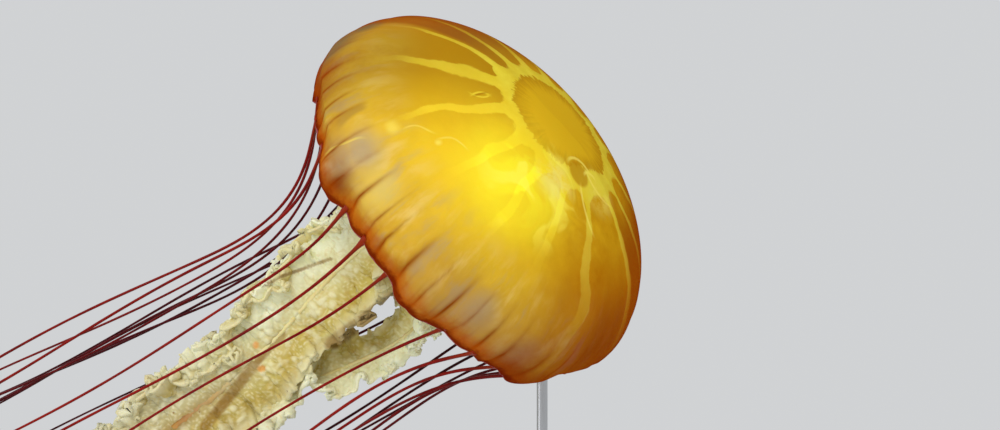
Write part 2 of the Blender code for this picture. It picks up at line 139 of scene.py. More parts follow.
SHOWN_THROUGH = (  # where a midrib or a swollen spot shows through the veil: ends in x and z, half width
    ((0.0000, 0.4720), (-0.0577, 0.4294), 0.0030),
    ((-0.0891, 0.4356), (-0.1080, 0.4150), 0.0017),
    ((-0.1080, 0.4150), (-0.1393, 0.3760), 0.0024),
    ((-0.1700, 0.3560), (-0.2300, 0.3080), 0.0022),
    ((-0.0577, 0.4834), (-0.0891, 0.4721), 0.0007),
    ((-0.0891, 0.4721), (-0.0985, 0.4670), 0.0006),
)
# Two small orange spots, given the same way.
SPOTS = (((-0.1066, 0.4276), (-0.1062, 0.4286), 0.0012), ((-0.1035, 0.4130), (-0.1020, 0.4134), 0.0013))
SCATTER = np.array(((127.1, 269.5, 419.2), (311.7, 183.3, 371.9), (74.7, 246.1, 168.4)))
SCATTER_BY = 43758.5453  # with SCATTER, mixes a cube's place into a number that looks random
PUFF_SIZE, PUFF_RISE = 0.0060, 0.0024  # beads of swollen flesh on the lips
CURL_SIZE, CURL_RISE, CURL_SHIFT = 0.0027, 0.00055, 0.0011  # the small curls between them
VEIL_HALF = 0.00040  # half the lip's thickness between beads
STIR, STIR_LENGTH = 0.0017, 0.0135  # how beads and curls are pulled out of round
CROWD_LENGTH = 0.034  # how far apart beads crowd
FLAP_LEAN = 1.25  # how far the low arm's lips turn into one upright flap
FLAP_UPPER, FLAP_LOWER = 0.66, 0.36  # width of the flap's two lips, against the other arms'


def smoothstep(x):
    """Eases from 0 to 1 as x goes from 0 to 1."""
    x = np.clip(x, 0.0, 1.0)
    return x * x * (3.0 - 2.0 * x)


def unit(v):
    """These vectors, each made one long."""
    return v / np.maximum(np.linalg.norm(v, axis=-1, keepdims=True), 1e-12)


def bump_at(x, middle, width):
    """1 at the middle, fading to nothing about two widths either side."""
    return np.exp(-(((x - middle) / width) ** 2))


def wobble(x, seed, waves=5):
    """A smooth uneven wave between about -1 and 1 whose longest swing is 2 pi long in x."""
    rng = np.random.default_rng(seed)
    total = 0.0
    for k in range(1, waves + 1):
        total = total + np.sin(k * x + rng.uniform(0, 2 * math.pi)) * rng.uniform(0.5, 1.0) / k
    return total / 1.4


def round_turn(count):
    """Angles of this many points round a loop."""
    return np.arange(count) / count * 2 * math.pi


# ---- mesh making ----------------------------------------------------------------------------
def faces_inwards(points, quads, tris):
    """True where a closed skin holds a negative volume, so its faces are wound the wrong way round."""
    faces = np.concatenate([quads[:, [0, 1, 2]], quads[:, [0, 2, 3]], tris])
    first, second, third = (points[faces[:, k]] for k in range(3))
    return np.einsum("ij,ij->", first, np.cross(second, third)) < 0


def with_poles(loops):
    """Values at the points of these loops, then their mean round the first loop and round the last."""
    flat = loops.reshape(loops.shape[0] * loops.shape[1], -1)
    return np.concatenate([flat, loops[:1].mean(1).reshape(1, -1), loops[-1:].mean(1).reshape(1, -1)])


def end_fans(rows, around, uv_of):
    """Triangles and map of the two closed ends."""
    j = np.arange(around)
    tris, tri_uv = [], []
    for end, pole in ((0, rows * around), (rows - 1, rows * around + 1)):
        loop = [np.full(around, pole), end * around + (j + 1) % around, end * around + j]
        row, face_row = np.full(around, float(end)), np.full(around, min(end, rows - 2))
        marked = [uv_of(row, b, face_row) for b in (j + 0.5, j + 1.0, j * 1.0)]
        order = (0, 1, 2) if end == 0 else (0, 2, 1)
        tris.append(np.stack([loop[k] for k in order], 1))
        tri_uv.append(np.stack([np.stack(marked[k], -1) for k in order], 1))
    return np.concatenate(tris), np.concatenate(tri_uv)


def tube(grid, uv_of, material=0, **marks):
    """Points, faces and map of a closed skin: rows of grid are loops, and one point closes each end."""
    rows, around = grid.shape[:2]
    i, j = np.meshgrid(np.arange(rows - 1), np.arange(around), indexing="ij")
    i, j = i.ravel(), j.ravel()
    corner = [(i, j), (i, j + 1), (i + 1, j + 1), (i + 1, j)]
    quads = np.stack([a * around + b % around for a, b in corner], 1)
    quad_uv = np.stack([np.stack(uv_of(a.astype(float), b.astype(float), i), -1) for a, b in corner], 1)
    tris, tri_uv = end_fans(rows, around, uv_of)
    values = {}
    for name, value in marks.items():
        values[name] = with_poles(np.broadcast_to(value, (rows, around, *np.shape(value)[2:])))
    made = {"points": with_poles(grid), "quads": quads, "quad_uv": quad_uv, "tris": tris, "tri_uv": tri_uv}
    made.update(material=material, marks=values)
    if faces_inwards(made["points"], quads, tris):
        for key in ("quads", "quad_uv", "tris", "tri_uv"):
            made[key] = made[key][:, ::-1]
    return made


def add_marks(mesh, skins):
    """The skins' marks as point attributes, 0 on a skin that has none."""
    for mark in sorted({m for s in skins for m in s["marks"]}):
        wide = max(s["marks"][mark].shape[1] for s in skins if mark in s["marks"])
        values = [s["marks"].get(mark, np.zeros((len(s["points"]), wide))) for s in skins]
        kind, field = ("FLOAT_VECTOR", "vector") if wide == 3 else ("FLOAT", "value")
        layer = mesh.attributes.new(mark, kind, "POINT")
        layer.data.foreach_set(field, np.concatenate(values).astype(np.float32).ravel())


def joined(name, skins, materials):
    """One object from several skins, with their marks as point attributes and their map as OFBake."""
    starts = np.cumsum([0] + [len(s["points"]) for s in skins])
    corners = [(s[k] + at).ravel() for s, at in zip(skins, starts) for k in ("quads", "tris")]
    sizes = [np.full(len(s[k]), n) for s in skins for k, n in (("quads", 4), ("tris", 3))]
    finish = [np.full(len(s[k]), s["material"]) for s in skins for k in ("quads", "tris")]
    uvs = [s[k].reshape(-1, 2) for s in skins for k in ("quad_uv", "tri_uv")]
    corners, sizes, finish, uvs = (np.concatenate(x) for x in (corners, sizes, finish, uvs))
    points = np.concatenate([s["points"] for s in skins])
    mesh = bpy.data.meshes.new(name)
    mesh.vertices.add(len(points))
    mesh.vertices.foreach_set("co", points.astype(np.float32).ravel())
    mesh.loops.add(len(corners))
    mesh.loops.foreach_set("vertex_index", corners.astype(np.int32))
    mesh.polygons.add(len(sizes))
    mesh.polygons.foreach_set("loop_start", (np.cumsum(sizes) - sizes).astype(np.int32))
    mesh.polygons.foreach_set("material_index", finish.astype(np.int32))
    mesh.update(calc_edges=True)
    mesh.uv_layers.new(name="OFBake").uv.foreach_set("vector", uvs.astype(np.float32).ravel())
    add_marks(mesh, skins)
    mesh.shade_smooth()
    for surface in materials:
        mesh.materials.append(surface)
    return placed(bpy.data.objects.new(name, mesh))


def placed(made):
    """Puts an object in the scene."""
    bpy.context.scene.collection.objects.link(made)
    return made


def map_panel(x0, y0, x1, y1, rows, around, strips=1):
    """A map of a tube onto a rectangle. A long tube is cut into strips laid one above another."""
    strip_rows = math.ceil((rows - 1) / strips)
    gap, edge, inner = 0.004, 0.06, 0.88

    def uv_of(i, j, face_row):
        strip = face_row // strip_rows
        u = (i - strip * strip_rows) / strip_rows
        v = (strip + edge + inner * j / around) / strips
        return x0 + gap + (x1 - x0 - 2 * gap) * u, y0 + (y1 - y0) * v

    return uv_of


def oval_loops(middle, wide, half_width, thin, half_thickness, sides):
    """Oval loops along a line, drawn between two directions at each of its points."""
    turn = round_turn(sides)
    ring = np.cos(turn)[None, :, None] * wide[:, None] * half_width[:, None, None]
    ring = ring + np.sin(turn)[None, :, None] * thin[:, None] * half_thickness[:, None, None]
    return middle[:, None] + ring


# ---- bell -----------------------------------------------------------------------------------
def bell_turn():
    """The turn from the bell's own frame to the room's."""
    return np.array(Matrix.Rotation(BELL_TILT, 3, "Y") @ Matrix.Rotation(BELL_LEAN, 3, "X"))


def outer_wall(d):
    """Radius and height of the outer skin."""
    turn = np.minimum(d, 1.0) * math.pi / 2
    below = np.maximum(d - 1.0, 0.0)
    r = BELL_RADIUS * np.sin(turn) - (BELL_RADIUS - MARGIN_RADIUS) * below**2
    return r, BELL_HEIGHT * np.cos(turn) - MARGIN_DROP * below


def wall_direction(d):
    """The way down the outer skin: its outward and upward parts."""
    r0, z0 = outer_wall(np.maximum(d - 0.001, 0.0))
    r1, z1 = outer_wall(d + 0.001)
    length = np.hypot(r1 - r0, z1 - z0)
    return (r1 - r0) / length, (z1 - z0) / length


def jelly(d):
    """Thickness of the wall."""
    above = CROWN_JELLY + (WIDEST_JELLY - CROWN_JELLY) * np.minimum(d, 1.0) ** 1.5
    return above + (MARGIN_JELLY - WIDEST_JELLY) * np.maximum(d - 1.0, 0.0)


def from_sense_organ(angle):
    """Angle from the nearest sense organ."""
    octant = 2 * math.pi / OCTANTS
    return (angle - FIRST_SENSE_ORGAN + octant / 2) % octant - octant / 2


def margin_reach(angle):
    """How far down the margin is: scalloped by its lappets, with a lobe at each sense organ."""
    away = from_sense_organ(angle)
    scallop = SCALLOP * (0.5 - 0.5 * np.cos(LAPPETS * away))
    return 1.0 + SHORTEST_MARGIN + scallop + SENSE_LOBE * bump_at(away, 0.0, SENSE_LOBE_WIDTH)


def drawn_in(angle):
    """How far the sides are drawn in at the margin."""
    total = 0.0
    for middle, width, depth in FLANKS:
        away = (angle - middle + math.pi) % (2 * math.pi) - math.pi
        total = total + depth * bump_at(away, 0.0, width)
    return total


def swell(angle, d):
    """How far the lower wall stands out from a plain turned form."""
    away = from_sense_organ(angle)
    lobe = SENSE_BULGE * bump_at(away, 0.0, SENSE_LOBE_WIDTH)
    grown = (PLEAT_BULGE * np.cos(2 * OCTANTS * away) + lobe) * smoothstep((d - BAND_TOP) / SWELL_OVER)
    return grown - drawn_in(angle) * smoothstep((d - DRAWN_FROM) / (BAND_TOP + SWELL_OVER - DRAWN_FROM))


def on_bell(angle, d, depth):
    """A point of the bell in its own frame, this deep under the outer skin."""
    r, z = outer_wall(d)
    along_r, along_z = wall_direction(d)
    r = np.maximum(r + along_z * depth, 0.0) + swell(angle, d)
    z = z - along_r * depth
    return np.stack([r * np.cos(angle), r * np.sin(angle), z + 0 * angle], -1)


def skin_arc(d):
    """Length along the skin from the crown."""
    fine = np.linspace(0.0, 2.1, 2101)
    r, z = outer_wall(fine)
    arc = np.concatenate([[0.0], np.cumsum(np.hypot(np.diff(r), np.diff(z)))])
    return np.interp(d, fine, arc)


def furrow_warp(angle, d):
    """How far the creases are turned from even spacing, in radians. They slant more towards the crown."""
    return 0.050 * wobble(5 * angle, 3, 6) + 0.07 * (1.6 - d) * wobble(3 * angle, 4, 4)


def crease_depth(angle, d):
    """Creases between soft folds below the widest ring, fading towards the crown."""
    phase = FURROWS * (angle + furrow_warp(angle, d))
    crease = (0.5 + 0.5 * np.cos(phase)) ** 5
    strength = 0.55 + 0.45 * wobble(7 * angle, 11, 6)
    fold = CREASE_DEPTH * np.clip(strength, 0.15, 1.0) * crease * smoothstep((d - 0.86) / 0.5)
    slow = SLOW_DEPTH * wobble(9 * angle, 21, 5) * smoothstep((d - 0.55) / 0.5)
    return fold + slow - CREASE_LIFT


def ray_turn(angle):
    """How far the pale rays are turned from even spacing, in radians."""
    total = 0.0
    for middle, width, turn in RAY_SHIFTS:
        away = (np.degrees(angle) - middle + 180.0) % 360.0 - 180.0
        total = total + math.radians(turn) * bump_at(away, 0.0, width)
    return total


def smooth_facing(angle, d):
    """How edge-on the bell's smooth form stands to the side the model is shown from: 1 at its outline, which
    the material darkens with painted shade.
    """
    along_r, along_z = wall_direction(d)
    normal = np.stack([-along_z * np.cos(angle), -along_z * np.sin(angle), along_r + 0 * angle], -1)
    return 1.0 - np.abs((normal @ bell_turn().T)[..., 1])


def bell_rows(reach):
    """Rows from the crown down, round the margin's lip and up inside: their d, depth and count outside."""
    down = np.concatenate([np.linspace(0.004, 0.97, 62), np.linspace(0.985, 1.0, 4)[1:]])
    low = np.linspace(0.0, 1.0, 34)[1:]
    d_down = np.repeat(down[:, None], BELL_AROUND, 1)
    d_low = 1.0 + low[:, None] * (reach - 1.0)
    outer_d = np.concatenate([d_down, d_low])
    inner_d = np.concatenate([d_low[::-3], d_down[::-4]])
    turn = np.array([30.0, 90.0, 150.0]) * math.pi / 180
    lip_d = reach[None] + 0.5 * MARGIN_JELLY / MARGIN_DROP * np.sin(turn)[:, None]
    lip_depth = MARGIN_JELLY * (0.5 - 0.5 * np.cos(turn))[:, None]
    depth = np.concatenate([0 * outer_d, lip_depth + 0 * lip_d, jelly(inner_d)])
    return np.concatenate([outer_d, lip_d, inner_d]), depth, len(outer_d)


def bell_map(rows, first_inner):
    """The outer skin as a disc on the map, and the inner skin as a smaller disc beside it."""

    def uv_of(i, j, face_row):
        turn = j / BELL_AROUND * 2 * math.pi
        is_inner = face_row >= first_inner
        out_r = OUTER_MAP[2] * np.clip(i / first_inner, 0, 1)
        in_r = INNER_MAP[2] * (rows - 1 - i) / (rows - 1 - first_inner)
        r = np.where(is_inner, in_r, out_r)
        x, y = (np.where(is_inner, INNER_MAP[k], OUTER_MAP[k]) for k in (0, 1))
        return x + r * np.cos(turn), y + r * np.sin(turn)

    return uv_of


def bell_skin():
    """Outer skin with its creases, a round margin, and the inner skin, as one closed sheet."""
    angle = FIRST_SENSE_ORGAN + round_turn(BELL_AROUND)
    reach = margin_reach(angle) + RAGGED_MARGIN * wobble(16 * angle, 8, 6)
    d, depth, outer_rows = bell_rows(reach)
    angle = np.broadcast_to(angle, d.shape)
    depth = depth + crease_depth(angle, d) * (1.0 - 0.6 * (depth > 0))
    world = on_bell(angle, d, depth) @ bell_turn().T + BELL_CENTRE
    inside = np.zeros(d.shape)
    inside[outer_rows + 2 :] = 1.0
    marks = {"place": on_bell(angle, d, 0.0), "share": skin_arc(d) / PATTERN_ARC, "inside": inside}
    # side marks the outline for painted shade.
    marks.update(rim=np.abs(reach[None] - d) * MARGIN_DROP, side=smooth_facing(angle, d))
    marks.update(warp=furrow_warp(angle, d), turn=ray_turn(angle))
    return tube(world, bell_map(len(d), outer_rows + 1), 0, **marks)


# ---- tentacles ------------------------------------------------------------------------------
def tentacle_route(angle, length, number):
    """Points down a tentacle that leaves along the wall and then trails, and its ways down and out there."""
    turned = bell_turn()
    reach = float(margin_reach(angle))
    radial = np.array((math.cos(angle), math.sin(angle), 0.0))
    out = turned @ radial
    down = turned @ np.array((0.0, 0.0, -1.0))
    high = out[2]
    leave = unit(down - out * (LEAVE_INWARD + LEAVE_HIGH * high + LEAVE_STEEP * high**2))
    start = on_bell(np.array(angle), np.array(reach), 0.0) - radial * float(jelly(reach)) / 2
    point = turned @ start + down * ROOT_GAP
    bend = LEAVE_BEND * (1.0 + SLOPE_HANG * abs(high) + HANG * max(high, 0.0) ** 3)
    route = [point]
    for i in range(round(length / STEP)):
        along = (i + 0.5) * STEP
        steep = TRAIL_PITCH - PITCH_SPREAD * out[2]
        pitch = steep + (TAIL_PITCH - steep) * float(smoothstep((along - TAIL_FROM) / TAIL_OVER))
        trail = unit(np.array((-math.cos(pitch), TRAIL_AWAY + FAN_OUT * out[1], -math.sin(pitch))))
        bent = float(smoothstep(along / bend))
        wave = WAVE * bent * math.sin(2 * math.pi * along / WAVE_LENGTH + WAVE_SHIFT * number)
        sway = WAVE * bent * math.sin(2 * math.pi * along / SWAY_LENGTH + SWAY_SHIFT * number)
        point = point + unit(leave * (1 - bent) + trail * bent + np.array((0.0, sway, wave))) * STEP
        route.append(point)
    return np.array(route) + BELL_CENTRE, leave, out


def length_along(route):
    """Length from the start of a route to each of its points."""
    return np.concatenate([[0.0], np.cumsum(np.linalg.norm(np.diff(route, axis=0), axis=1))])


def points_at(place, known, points):
    """Points read off a list of known ones, each at its own place."""
    return np.stack([np.interp(place, known, points[:, k]) for k in range(3)], 1)


def carried_sides(route, across):
    """Two directions square to the route at each point, turned as little as possible along it."""
    ahead = unit(np.gradient(route, axis=0))
    first = []
    side = across
    for way in ahead:
        side = unit(side - way * (side @ way))
        first.append(side)
    first = np.array(first)
    return first, np.cross(ahead, first)


def tentacle_line(number):
    """The middle line of one tentacle from inside the margin, and the ways down and out at its root."""
    octant, place = divmod(number, TENTACLES_EACH)
    lappet = 2 * math.pi / LAPPETS
    angle = FIRST_SENSE_ORGAN + octant * 2 * math.pi / OCTANTS + (place + 1) * lappet
    short = place == (2 if octant % 2 else 0)
    length = SHORT_TENTACLE if short else LONG_TENTACLE
    length *= 1.0 + LENGTH_SPREAD * math.sin(LENGTH_SHIFT * number)
    route, leave, out = tentacle_route(angle, length, number)
    buried = [route[0] - leave * 0.0055 + out * 0.0004, route[0] - leave * 0.0025]
    rooted = np.concatenate([buried, route])
    place_at = (np.linspace(0.0, 1.0, TENTACLE_RINGS) ** RINGS_CROWD) * (len(rooted) - 1)
    return points_at(place_at, np.arange(len(rooted)), rooted), leave, out


def tentacle_radius(along, number):
    """Stout at the root, slim and a little uneven below it, and rounded off at the tip."""
    share = along / along[-1]
    root = 1.0 + (TENTACLE_ROOT - 1.0) * np.exp(-share * ROOT_FADE)
    radius = TENTACLE_RADIUS * root * (1.0 + (TENTACLE_TIP - 1.0) * share)
    radius *= SLIM * (1.0 + 0.06 * wobble(along * 90 + number, number, 5))
    return radius * np.sqrt(np.clip((1.0 - share) * 60, 0.05, 1.0))


def tentacle_skins():
    """The 24 tentacles, each widened along the margin at its root."""
    skins = []
    shape = TENTACLE_RINGS, TENTACLE_SIDES
    for number in range(TENTACLES_EACH * OCTANTS):
        route, leave, out = tentacle_line(number)
        along = length_along(route)
        radius = tentacle_radius(along, number)
        wide, thin = carried_sides(route, np.cross(out, leave))
        flare = 1.0 + ROOT_FLARE * bump_at(along, 0.0, FLARE_LENGTH)
        squeeze = 1.0 - ROOT_SQUEEZE * bump_at(along, 0.0, SQUEEZE_LENGTH)
        loops = oval_loops(route, wide, radius * flare, thin, radius * squeeze, TENTACLE_SIDES)
        foot, top = (TENTACLE_FOOT + TENTACLE_STRIP * (number + k) for k in (0, 1))
        # 1 for tentacles on the bell's near side and 0 on its far side, which the material darkens with
        # painted shade.
        tone = smoothstep((0.04 - route[0, 1]) / 0.16) + np.zeros(shape)
        panel = map_panel(0.0, foot, 1.0, top, *shape)
        skins.append(tube(loops, panel, 1, along=along[:, None] + 0 * tone, tone=tone))
    return skins


# ---- mouth stalk and arms -------------------------------------------------------------------
def arm_centres(count):
    """Evenly spaced points on the smooth middle line of the arms, and its length."""
    before, after = 2 * ARM_ROUTE[0] - ARM_ROUTE[1], 2 * ARM_ROUTE[-1] - ARM_ROUTE[-2]
    stops = np.concatenate([[before], ARM_ROUTE, [after]])
    t = (np.arange(40) / 40)[:, None]
    fine = []
    for a, b, c, d in zip(stops, stops[1:], stops[2:], stops[3:]):
        curve = (2 * a - 5 * b + 4 * c - d) * t**2
        fine.append(0.5 * (2 * b + (c - a) * t + curve + (3 * b - a - 3 * c + d) * t**3))
    fine = np.concatenate([*fine, stops[-2][None]])
    lengths = length_along(fine)
    return points_at(np.linspace(0.0, lengths[-1], count), lengths, fine), lengths[-1]


def arm_frames(arm, share):
    """Midrib points of one arm at these shares, its ways ahead, out and to the side, and its length."""
    count = 241
    centres, total = arm_centres(count)
    at = share * (count - 1)
    centre = points_at(at, np.arange(count), centres)
    ahead = unit(points_at(at, np.arange(count), unit(np.gradient(centres, axis=0))))
    across = unit(np.cross(ahead, np.array((0.0, 1.0, 0.0))))
    beyond = unit(np.cross(ahead, across))
    azimuth = 2 * math.pi / ARMS * arm + BUNDLE_TWIST * smoothstep((share - TWIST_FROM) / (1.0 - TWIST_FROM))
    out = across * np.cos(azimuth)[:, None] + beyond * np.sin(azimuth)[:, None]
    side = np.cross(ahead, out)
    spread = BUNDLE_NECK + (BUNDLE_BODY - BUNDLE_NECK) * smoothstep(share / NECK_OVER)
    spread = spread + (BUNDLE_TIP - BUNDLE_BODY) * smoothstep((share - BUNDLE_OPENS) / (1.0 - BUNDLE_OPENS))
    if arm == LOW_ARM:
        spread = spread + LOW_ARM_DROP * bump_at(share, LOW_ARM_AT, LOW_ARM_OVER)
    return centre + out * spread[:, None] + BELL_CENTRE, ahead, out, side, total


def rib_bare(arm, share):
    """Where the midrib shows: on the low arm and the near one its lips grow over it for its first length."""
    return smoothstep((share - 0.24) / 0.16) if arm in (LOW_ARM, NEAR_ARM) else np.ones_like(share)


def arm_ribs():
    """The four midribs: firm cords that the lips hang from."""
    skins = []
    for arm in range(ARMS):
        share = np.linspace(0.0, 1.0 - ARM_STAGGER * arm, RIB_RINGS)
        middle, _, out, side, _ = arm_frames(arm, share)
        bare = rib_bare(arm, share)
        thick = ARM_THICKNESS * (1.0 - share / 2) / 2
        wide = RIB_HALF_WIDTH * (1.0 - 0.6 * share) * (0.45 + 0.55 * bare)
        loops = oval_loops(middle, side, wide, out, thick, RIB_SIDES)
        foot, top = (RIB_FOOT + RIB_STRIP * (arm + k) for k in (0, 1))
        panel = map_panel(RIB_LEFT, foot, 1.0, top, RIB_RINGS, RIB_SIDES, 4)
        skins.append(tube(loops, panel, 2, bare=bare[:, None]))
    return skins


def stalk_skin():
    """The four-cornered mouth stalk under the crown."""
    rings, sides = 22, 48
    share = np.linspace(0.0, 1.0, rings)[:, None]
    turn = round_turn(sides)[None]
    top = BELL_HEIGHT - CROWN_JELLY + 0.001
    waist = MANUBRIUM_WAIST * np.sin(math.pi * share)
    radius = MANUBRIUM_RADIUS * (1.0 - waist + MANUBRIUM_LOBES * np.cos(ARMS * turn))
    height = top + (MANUBRIUM_END - top) * share
    own = np.stack([radius * np.cos(turn), radius * np.sin(turn), height + 0 * turn], -1)
    panel = map_panel(*STALK_MAP, rings, sides)
    return tube(own @ bell_turn().T + BELL_CENTRE, panel, 2, bare=1.0 + 0 * share)


def sheet_normals(grid):
    """The way out of a sheet at each of its points."""
    return unit(np.cross(np.gradient(grid, axis=0), np.gradient(grid, axis=1)))


def puffs(points, size):
    """Rounded beads, one in each cube of this size: 1 on top of a bead and 0 between them."""
    at = points / size
    base = np.floor(at - 0.5)
    near = np.full(at.shape[:-1], 9.0)
    for corner in np.ndindex(2, 2, 2):
        cube = base + corner
        mixed = np.sin(cube @ SCATTER) * SCATTER_BY
        seed = cube + 0.2 + 0.6 * (mixed - np.floor(mixed))
        near = np.minimum(near, np.linalg.norm(at - seed, axis=-1))
    return np.clip(1.0 - (near / 0.72) ** 2, 0.0, 1.0) ** 0.8


def uneven(points, size):
    """Slow unevenness through space: 1 where beads crowd and 0 where the veil is smooth."""
    at = points * 2 * math.pi / size
    bent = np.sin(at + 1.6 * np.sin(1.3 * at[..., [1, 2, 0]]))
    return smoothstep(0.5 + 0.45 * bent.sum(axis=-1))


def near_lines(points, lines):
    """1 on these lines, seen from the front, fading to 0 at twice their half width."""
    found = 0.0
    flat = points[..., [0, 2]]
    for start, end, half in lines:
        start, way = np.array(start), np.array(end) - start
        t = np.clip((flat - start) @ way / (way @ way), 0.0, 1.0)
        off = np.linalg.norm(flat - start - t[..., None] * way, axis=-1)
        found = np.maximum(found, smoothstep(2.0 - off / half))
    return found


def lip_width(share, turn, seed):
    """Width of a lip: narrower at the arm's neck and tip, and wavy between."""
    neck = ARM_NECK + (1.0 - ARM_NECK) * smoothstep(share / NECK_OVER)
    width = LIP_WIDTH * neck * (1.0 - 0.55 * smoothstep((share - NARROW_FROM) / (1.0 - NARROW_FROM)))
    width = width * (1.0 + 0.16 * wobble(turn / 0.085, seed, 4) + 0.06 * wobble(turn / 0.02, seed + 1, 4))
    return width * smoothstep((share[-1] - share) / 0.05 + 0.1)


def lip_sheet(arm, hand, share, u, seed):
    """The lip before it is ruffled: a band that leaves the midrib sideways and curls slowly along the arm."""
    middle, ahead, out, side, total = arm_frames(arm, share)
    along = share * total
    turn = along * 2 * math.pi
    width = lip_width(share, turn, seed)
    lean = (0.20 + 0.55 * wobble(turn / 0.24, seed + 2, 3))[:, None] * u
    if arm == LOW_ARM:
        low = bump_at(share, LOW_ARM_AT, LOW_ARM_OVER)
        lean = lean + hand * FLAP_LEAN * low[:, None]
        width = width * (1.0 - (1.0 - (FLAP_LOWER if hand > 0 else FLAP_UPPER)) * low)
    way = side[:, None] * (hand * np.cos(lean))[..., None] + out[:, None] * np.sin(lean)[..., None]
    steps = np.diff(u, axis=1, prepend=0.0) * width[:, None]
    teeth = TOOTH_LONG * np.sin(turn / TOOTH_APART + 2.0 * wobble(turn / 0.03, seed + 3, 4))
    teeth = u**6 * teeth[:, None]
    return middle[:, None] + np.cumsum(way * steps[..., None], axis=1) + way * teeth[..., None], ahead, along


def ruffled(grid, ahead, along, share, u, seed):
    """The sheet crowded into ruffles, with each finer set standing on the last."""
    grown = smoothstep(share / 0.06)[:, None] * (1.0 - 0.25 * share)[:, None]
    for k, (wavelength, height, late) in enumerate(RUFFLES):
        turn = along * 2 * math.pi / wavelength
        phase = (turn + 1.3 * wobble(turn / 4, seed + 20 + k, 4))[:, None] + 1.4 * u * (-1) ** k
        size = height * (1.0 + 0.4 * wobble(turn / 3, seed + 40 + k, 3))[:, None] * grown * u**late
        grid = grid + sheet_normals(grid) * (np.sin(phase) * size)[..., None]
        grid = grid + ahead[:, None] * (0.55 * np.sin(2 * phase + 0.6) * size * u**0.5)[..., None]
    return grid


def beading(grid, share, u):
    """Half the lip's thickness at each point, and how far up a bead or a curl the point is."""
    stirred = grid + STIR * np.sin(grid[..., [1, 2, 0]] * 2 * math.pi / STIR_LENGTH)
    bead = puffs(stirred, PUFF_SIZE) * (0.25 + 0.75 * uneven(grid, CROWD_LENGTH))
    curl = puffs(stirred + CURL_SHIFT, CURL_SIZE)
    swollen = (PUFF_RISE * smoothstep((share - 0.08) / 0.35)[:, None] + 0.0004) * (1.0 - 0.3 * u**5)
    return VEIL_HALF + bead * swollen + CURL_RISE * curl, np.maximum(bead, 0.8 * curl)


def there_and_back(over, under):
    """Loops that run over one side of a lip and back under the other."""
    return np.concatenate([over, under[:, ::-1]], axis=1)


def lip_skin(arm, hand):
    """One lip of a mouth arm: a soft veil from the midrib, crowded into ruffles within ruffles and beaded."""
    seed = 10 * arm + (1 if hand > 0 else 5)
    share = np.linspace(0.004, 1.0 - ARM_STAGGER * arm, LIP_ROWS)
    u = (np.linspace(0.0, 1.0, LIP_ACROSS) ** 0.9)[None, :]
    grid, ahead, along = lip_sheet(arm, hand, share, u, seed)
    grid = ruffled(grid, ahead, along, share, u, seed)
    half, bead = beading(grid, share, u)
    raised = sheet_normals(grid) * half[..., None]
    shell = there_and_back(grid + raised, grid - raised)
    edge = there_and_back(u, u) + 0 * along[:, None]
    marks = {"edge": edge, "puff": there_and_back(bead, bead), "along": along[:, None] + 0 * edge}
    marks["bare"] = rib_bare(arm, share)[:, None] + 0 * edge
    marks["ripe"] = 0.5 - 0.5 * hand * smoothstep(2.0 * edge)
    marks.update(streak=near_lines(shell, SHOWN_THROUGH), spot=near_lines(shell, SPOTS))
    return tube(shell, map_panel(0.0, 0.0, 1.0, 1.0, LIP_ROWS, 2 * LIP_ACROSS, 6), 0, **marks)


# ---- materials ------------------------------------------------------------------------------
MODE_OF = {  # the setting that the word after a dot is for
    "Math": "operation",
    "VectorMath": "operation",
    "MapRange": "interpolation_type",
}
AS_VECTOR, AS_NUMBER, ON_OBJECT = 1, 2, 3  # outputs of the Attribute and TexCoord nodes
SPAN, WIDE_SPAN = (0.35, 0.65), (0.3, 0.7)  # the values that a noise mostly lies between


def add(tree, kind, *inputs, out=0, **settings):
    """Adds a node with its settings and links, and returns an output. None leaves an input as it is."""
    kind, _, mode = kind.partition(".")
    made = tree.nodes.new("ShaderNode" + kind)
    if mode:
        settings[MODE_OF[kind]] = mode
    for name, value in settings.items():
        setattr(made, name, value)
    for socket, value in zip(made.inputs, inputs):
        if isinstance(value, bpy.types.NodeSocket):
            tree.links.new(value, socket)
        elif value is not None:
            socket.default_value = value
    return made.outputs[out]


def srgb(code):
    """The linear colour of an sRGB hex value."""
    parts = [int(code[k : k + 2], 16) / 255 for k in (1, 3, 5)]
    return (*(c / 12.92 if c <= 0.04045 else ((c + 0.055) / 1.055) ** 2.4 for c in parts), 1.0)


def new_surface(name):
    """A new material and its nodes."""
    made = bpy.data.materials.new(name)
    made.use_nodes = True
    return made, made.node_tree


def set_shader(t, sockets):
    """Sets the shader's sockets, each to a value or to another node's output."""
    shader = t.nodes["Principled BSDF"]
    for name, value in sockets.items():
        if isinstance(value, bpy.types.NodeSocket):
            t.links.new(value, shader.inputs[name])
        else:
            shader.inputs[name].default_value = value


def amount(t, *parts):
    """How much of a marking shows: the product of its parts.

    A part is a number or an output, or an output with the two ends it eases between: 0 at the first and 1 at
    the second, unless two more numbers say otherwise.
    """
    product = None
    for part in parts:
        if isinstance(part, tuple):
            part = add(t, "MapRange.SMOOTHSTEP", *part)
        product = part if product is None else add(t, "Math.MULTIPLY", product, part)
    return product


def tinted(t, colour, tint, *parts):
    """A colour with a tint laid over it, in the amount that these parts give."""
    return add(t, "MixRGB", amount(t, *parts), colour, srgb(tint) if isinstance(tint, str) else tint)


def varied(t, value, start, end, first, second):
    """A colour between two, by where the value lies from start to end."""
    return add(t, "MixRGB", add(t, "MapRange", value, start, end), srgb(first), srgb(second))


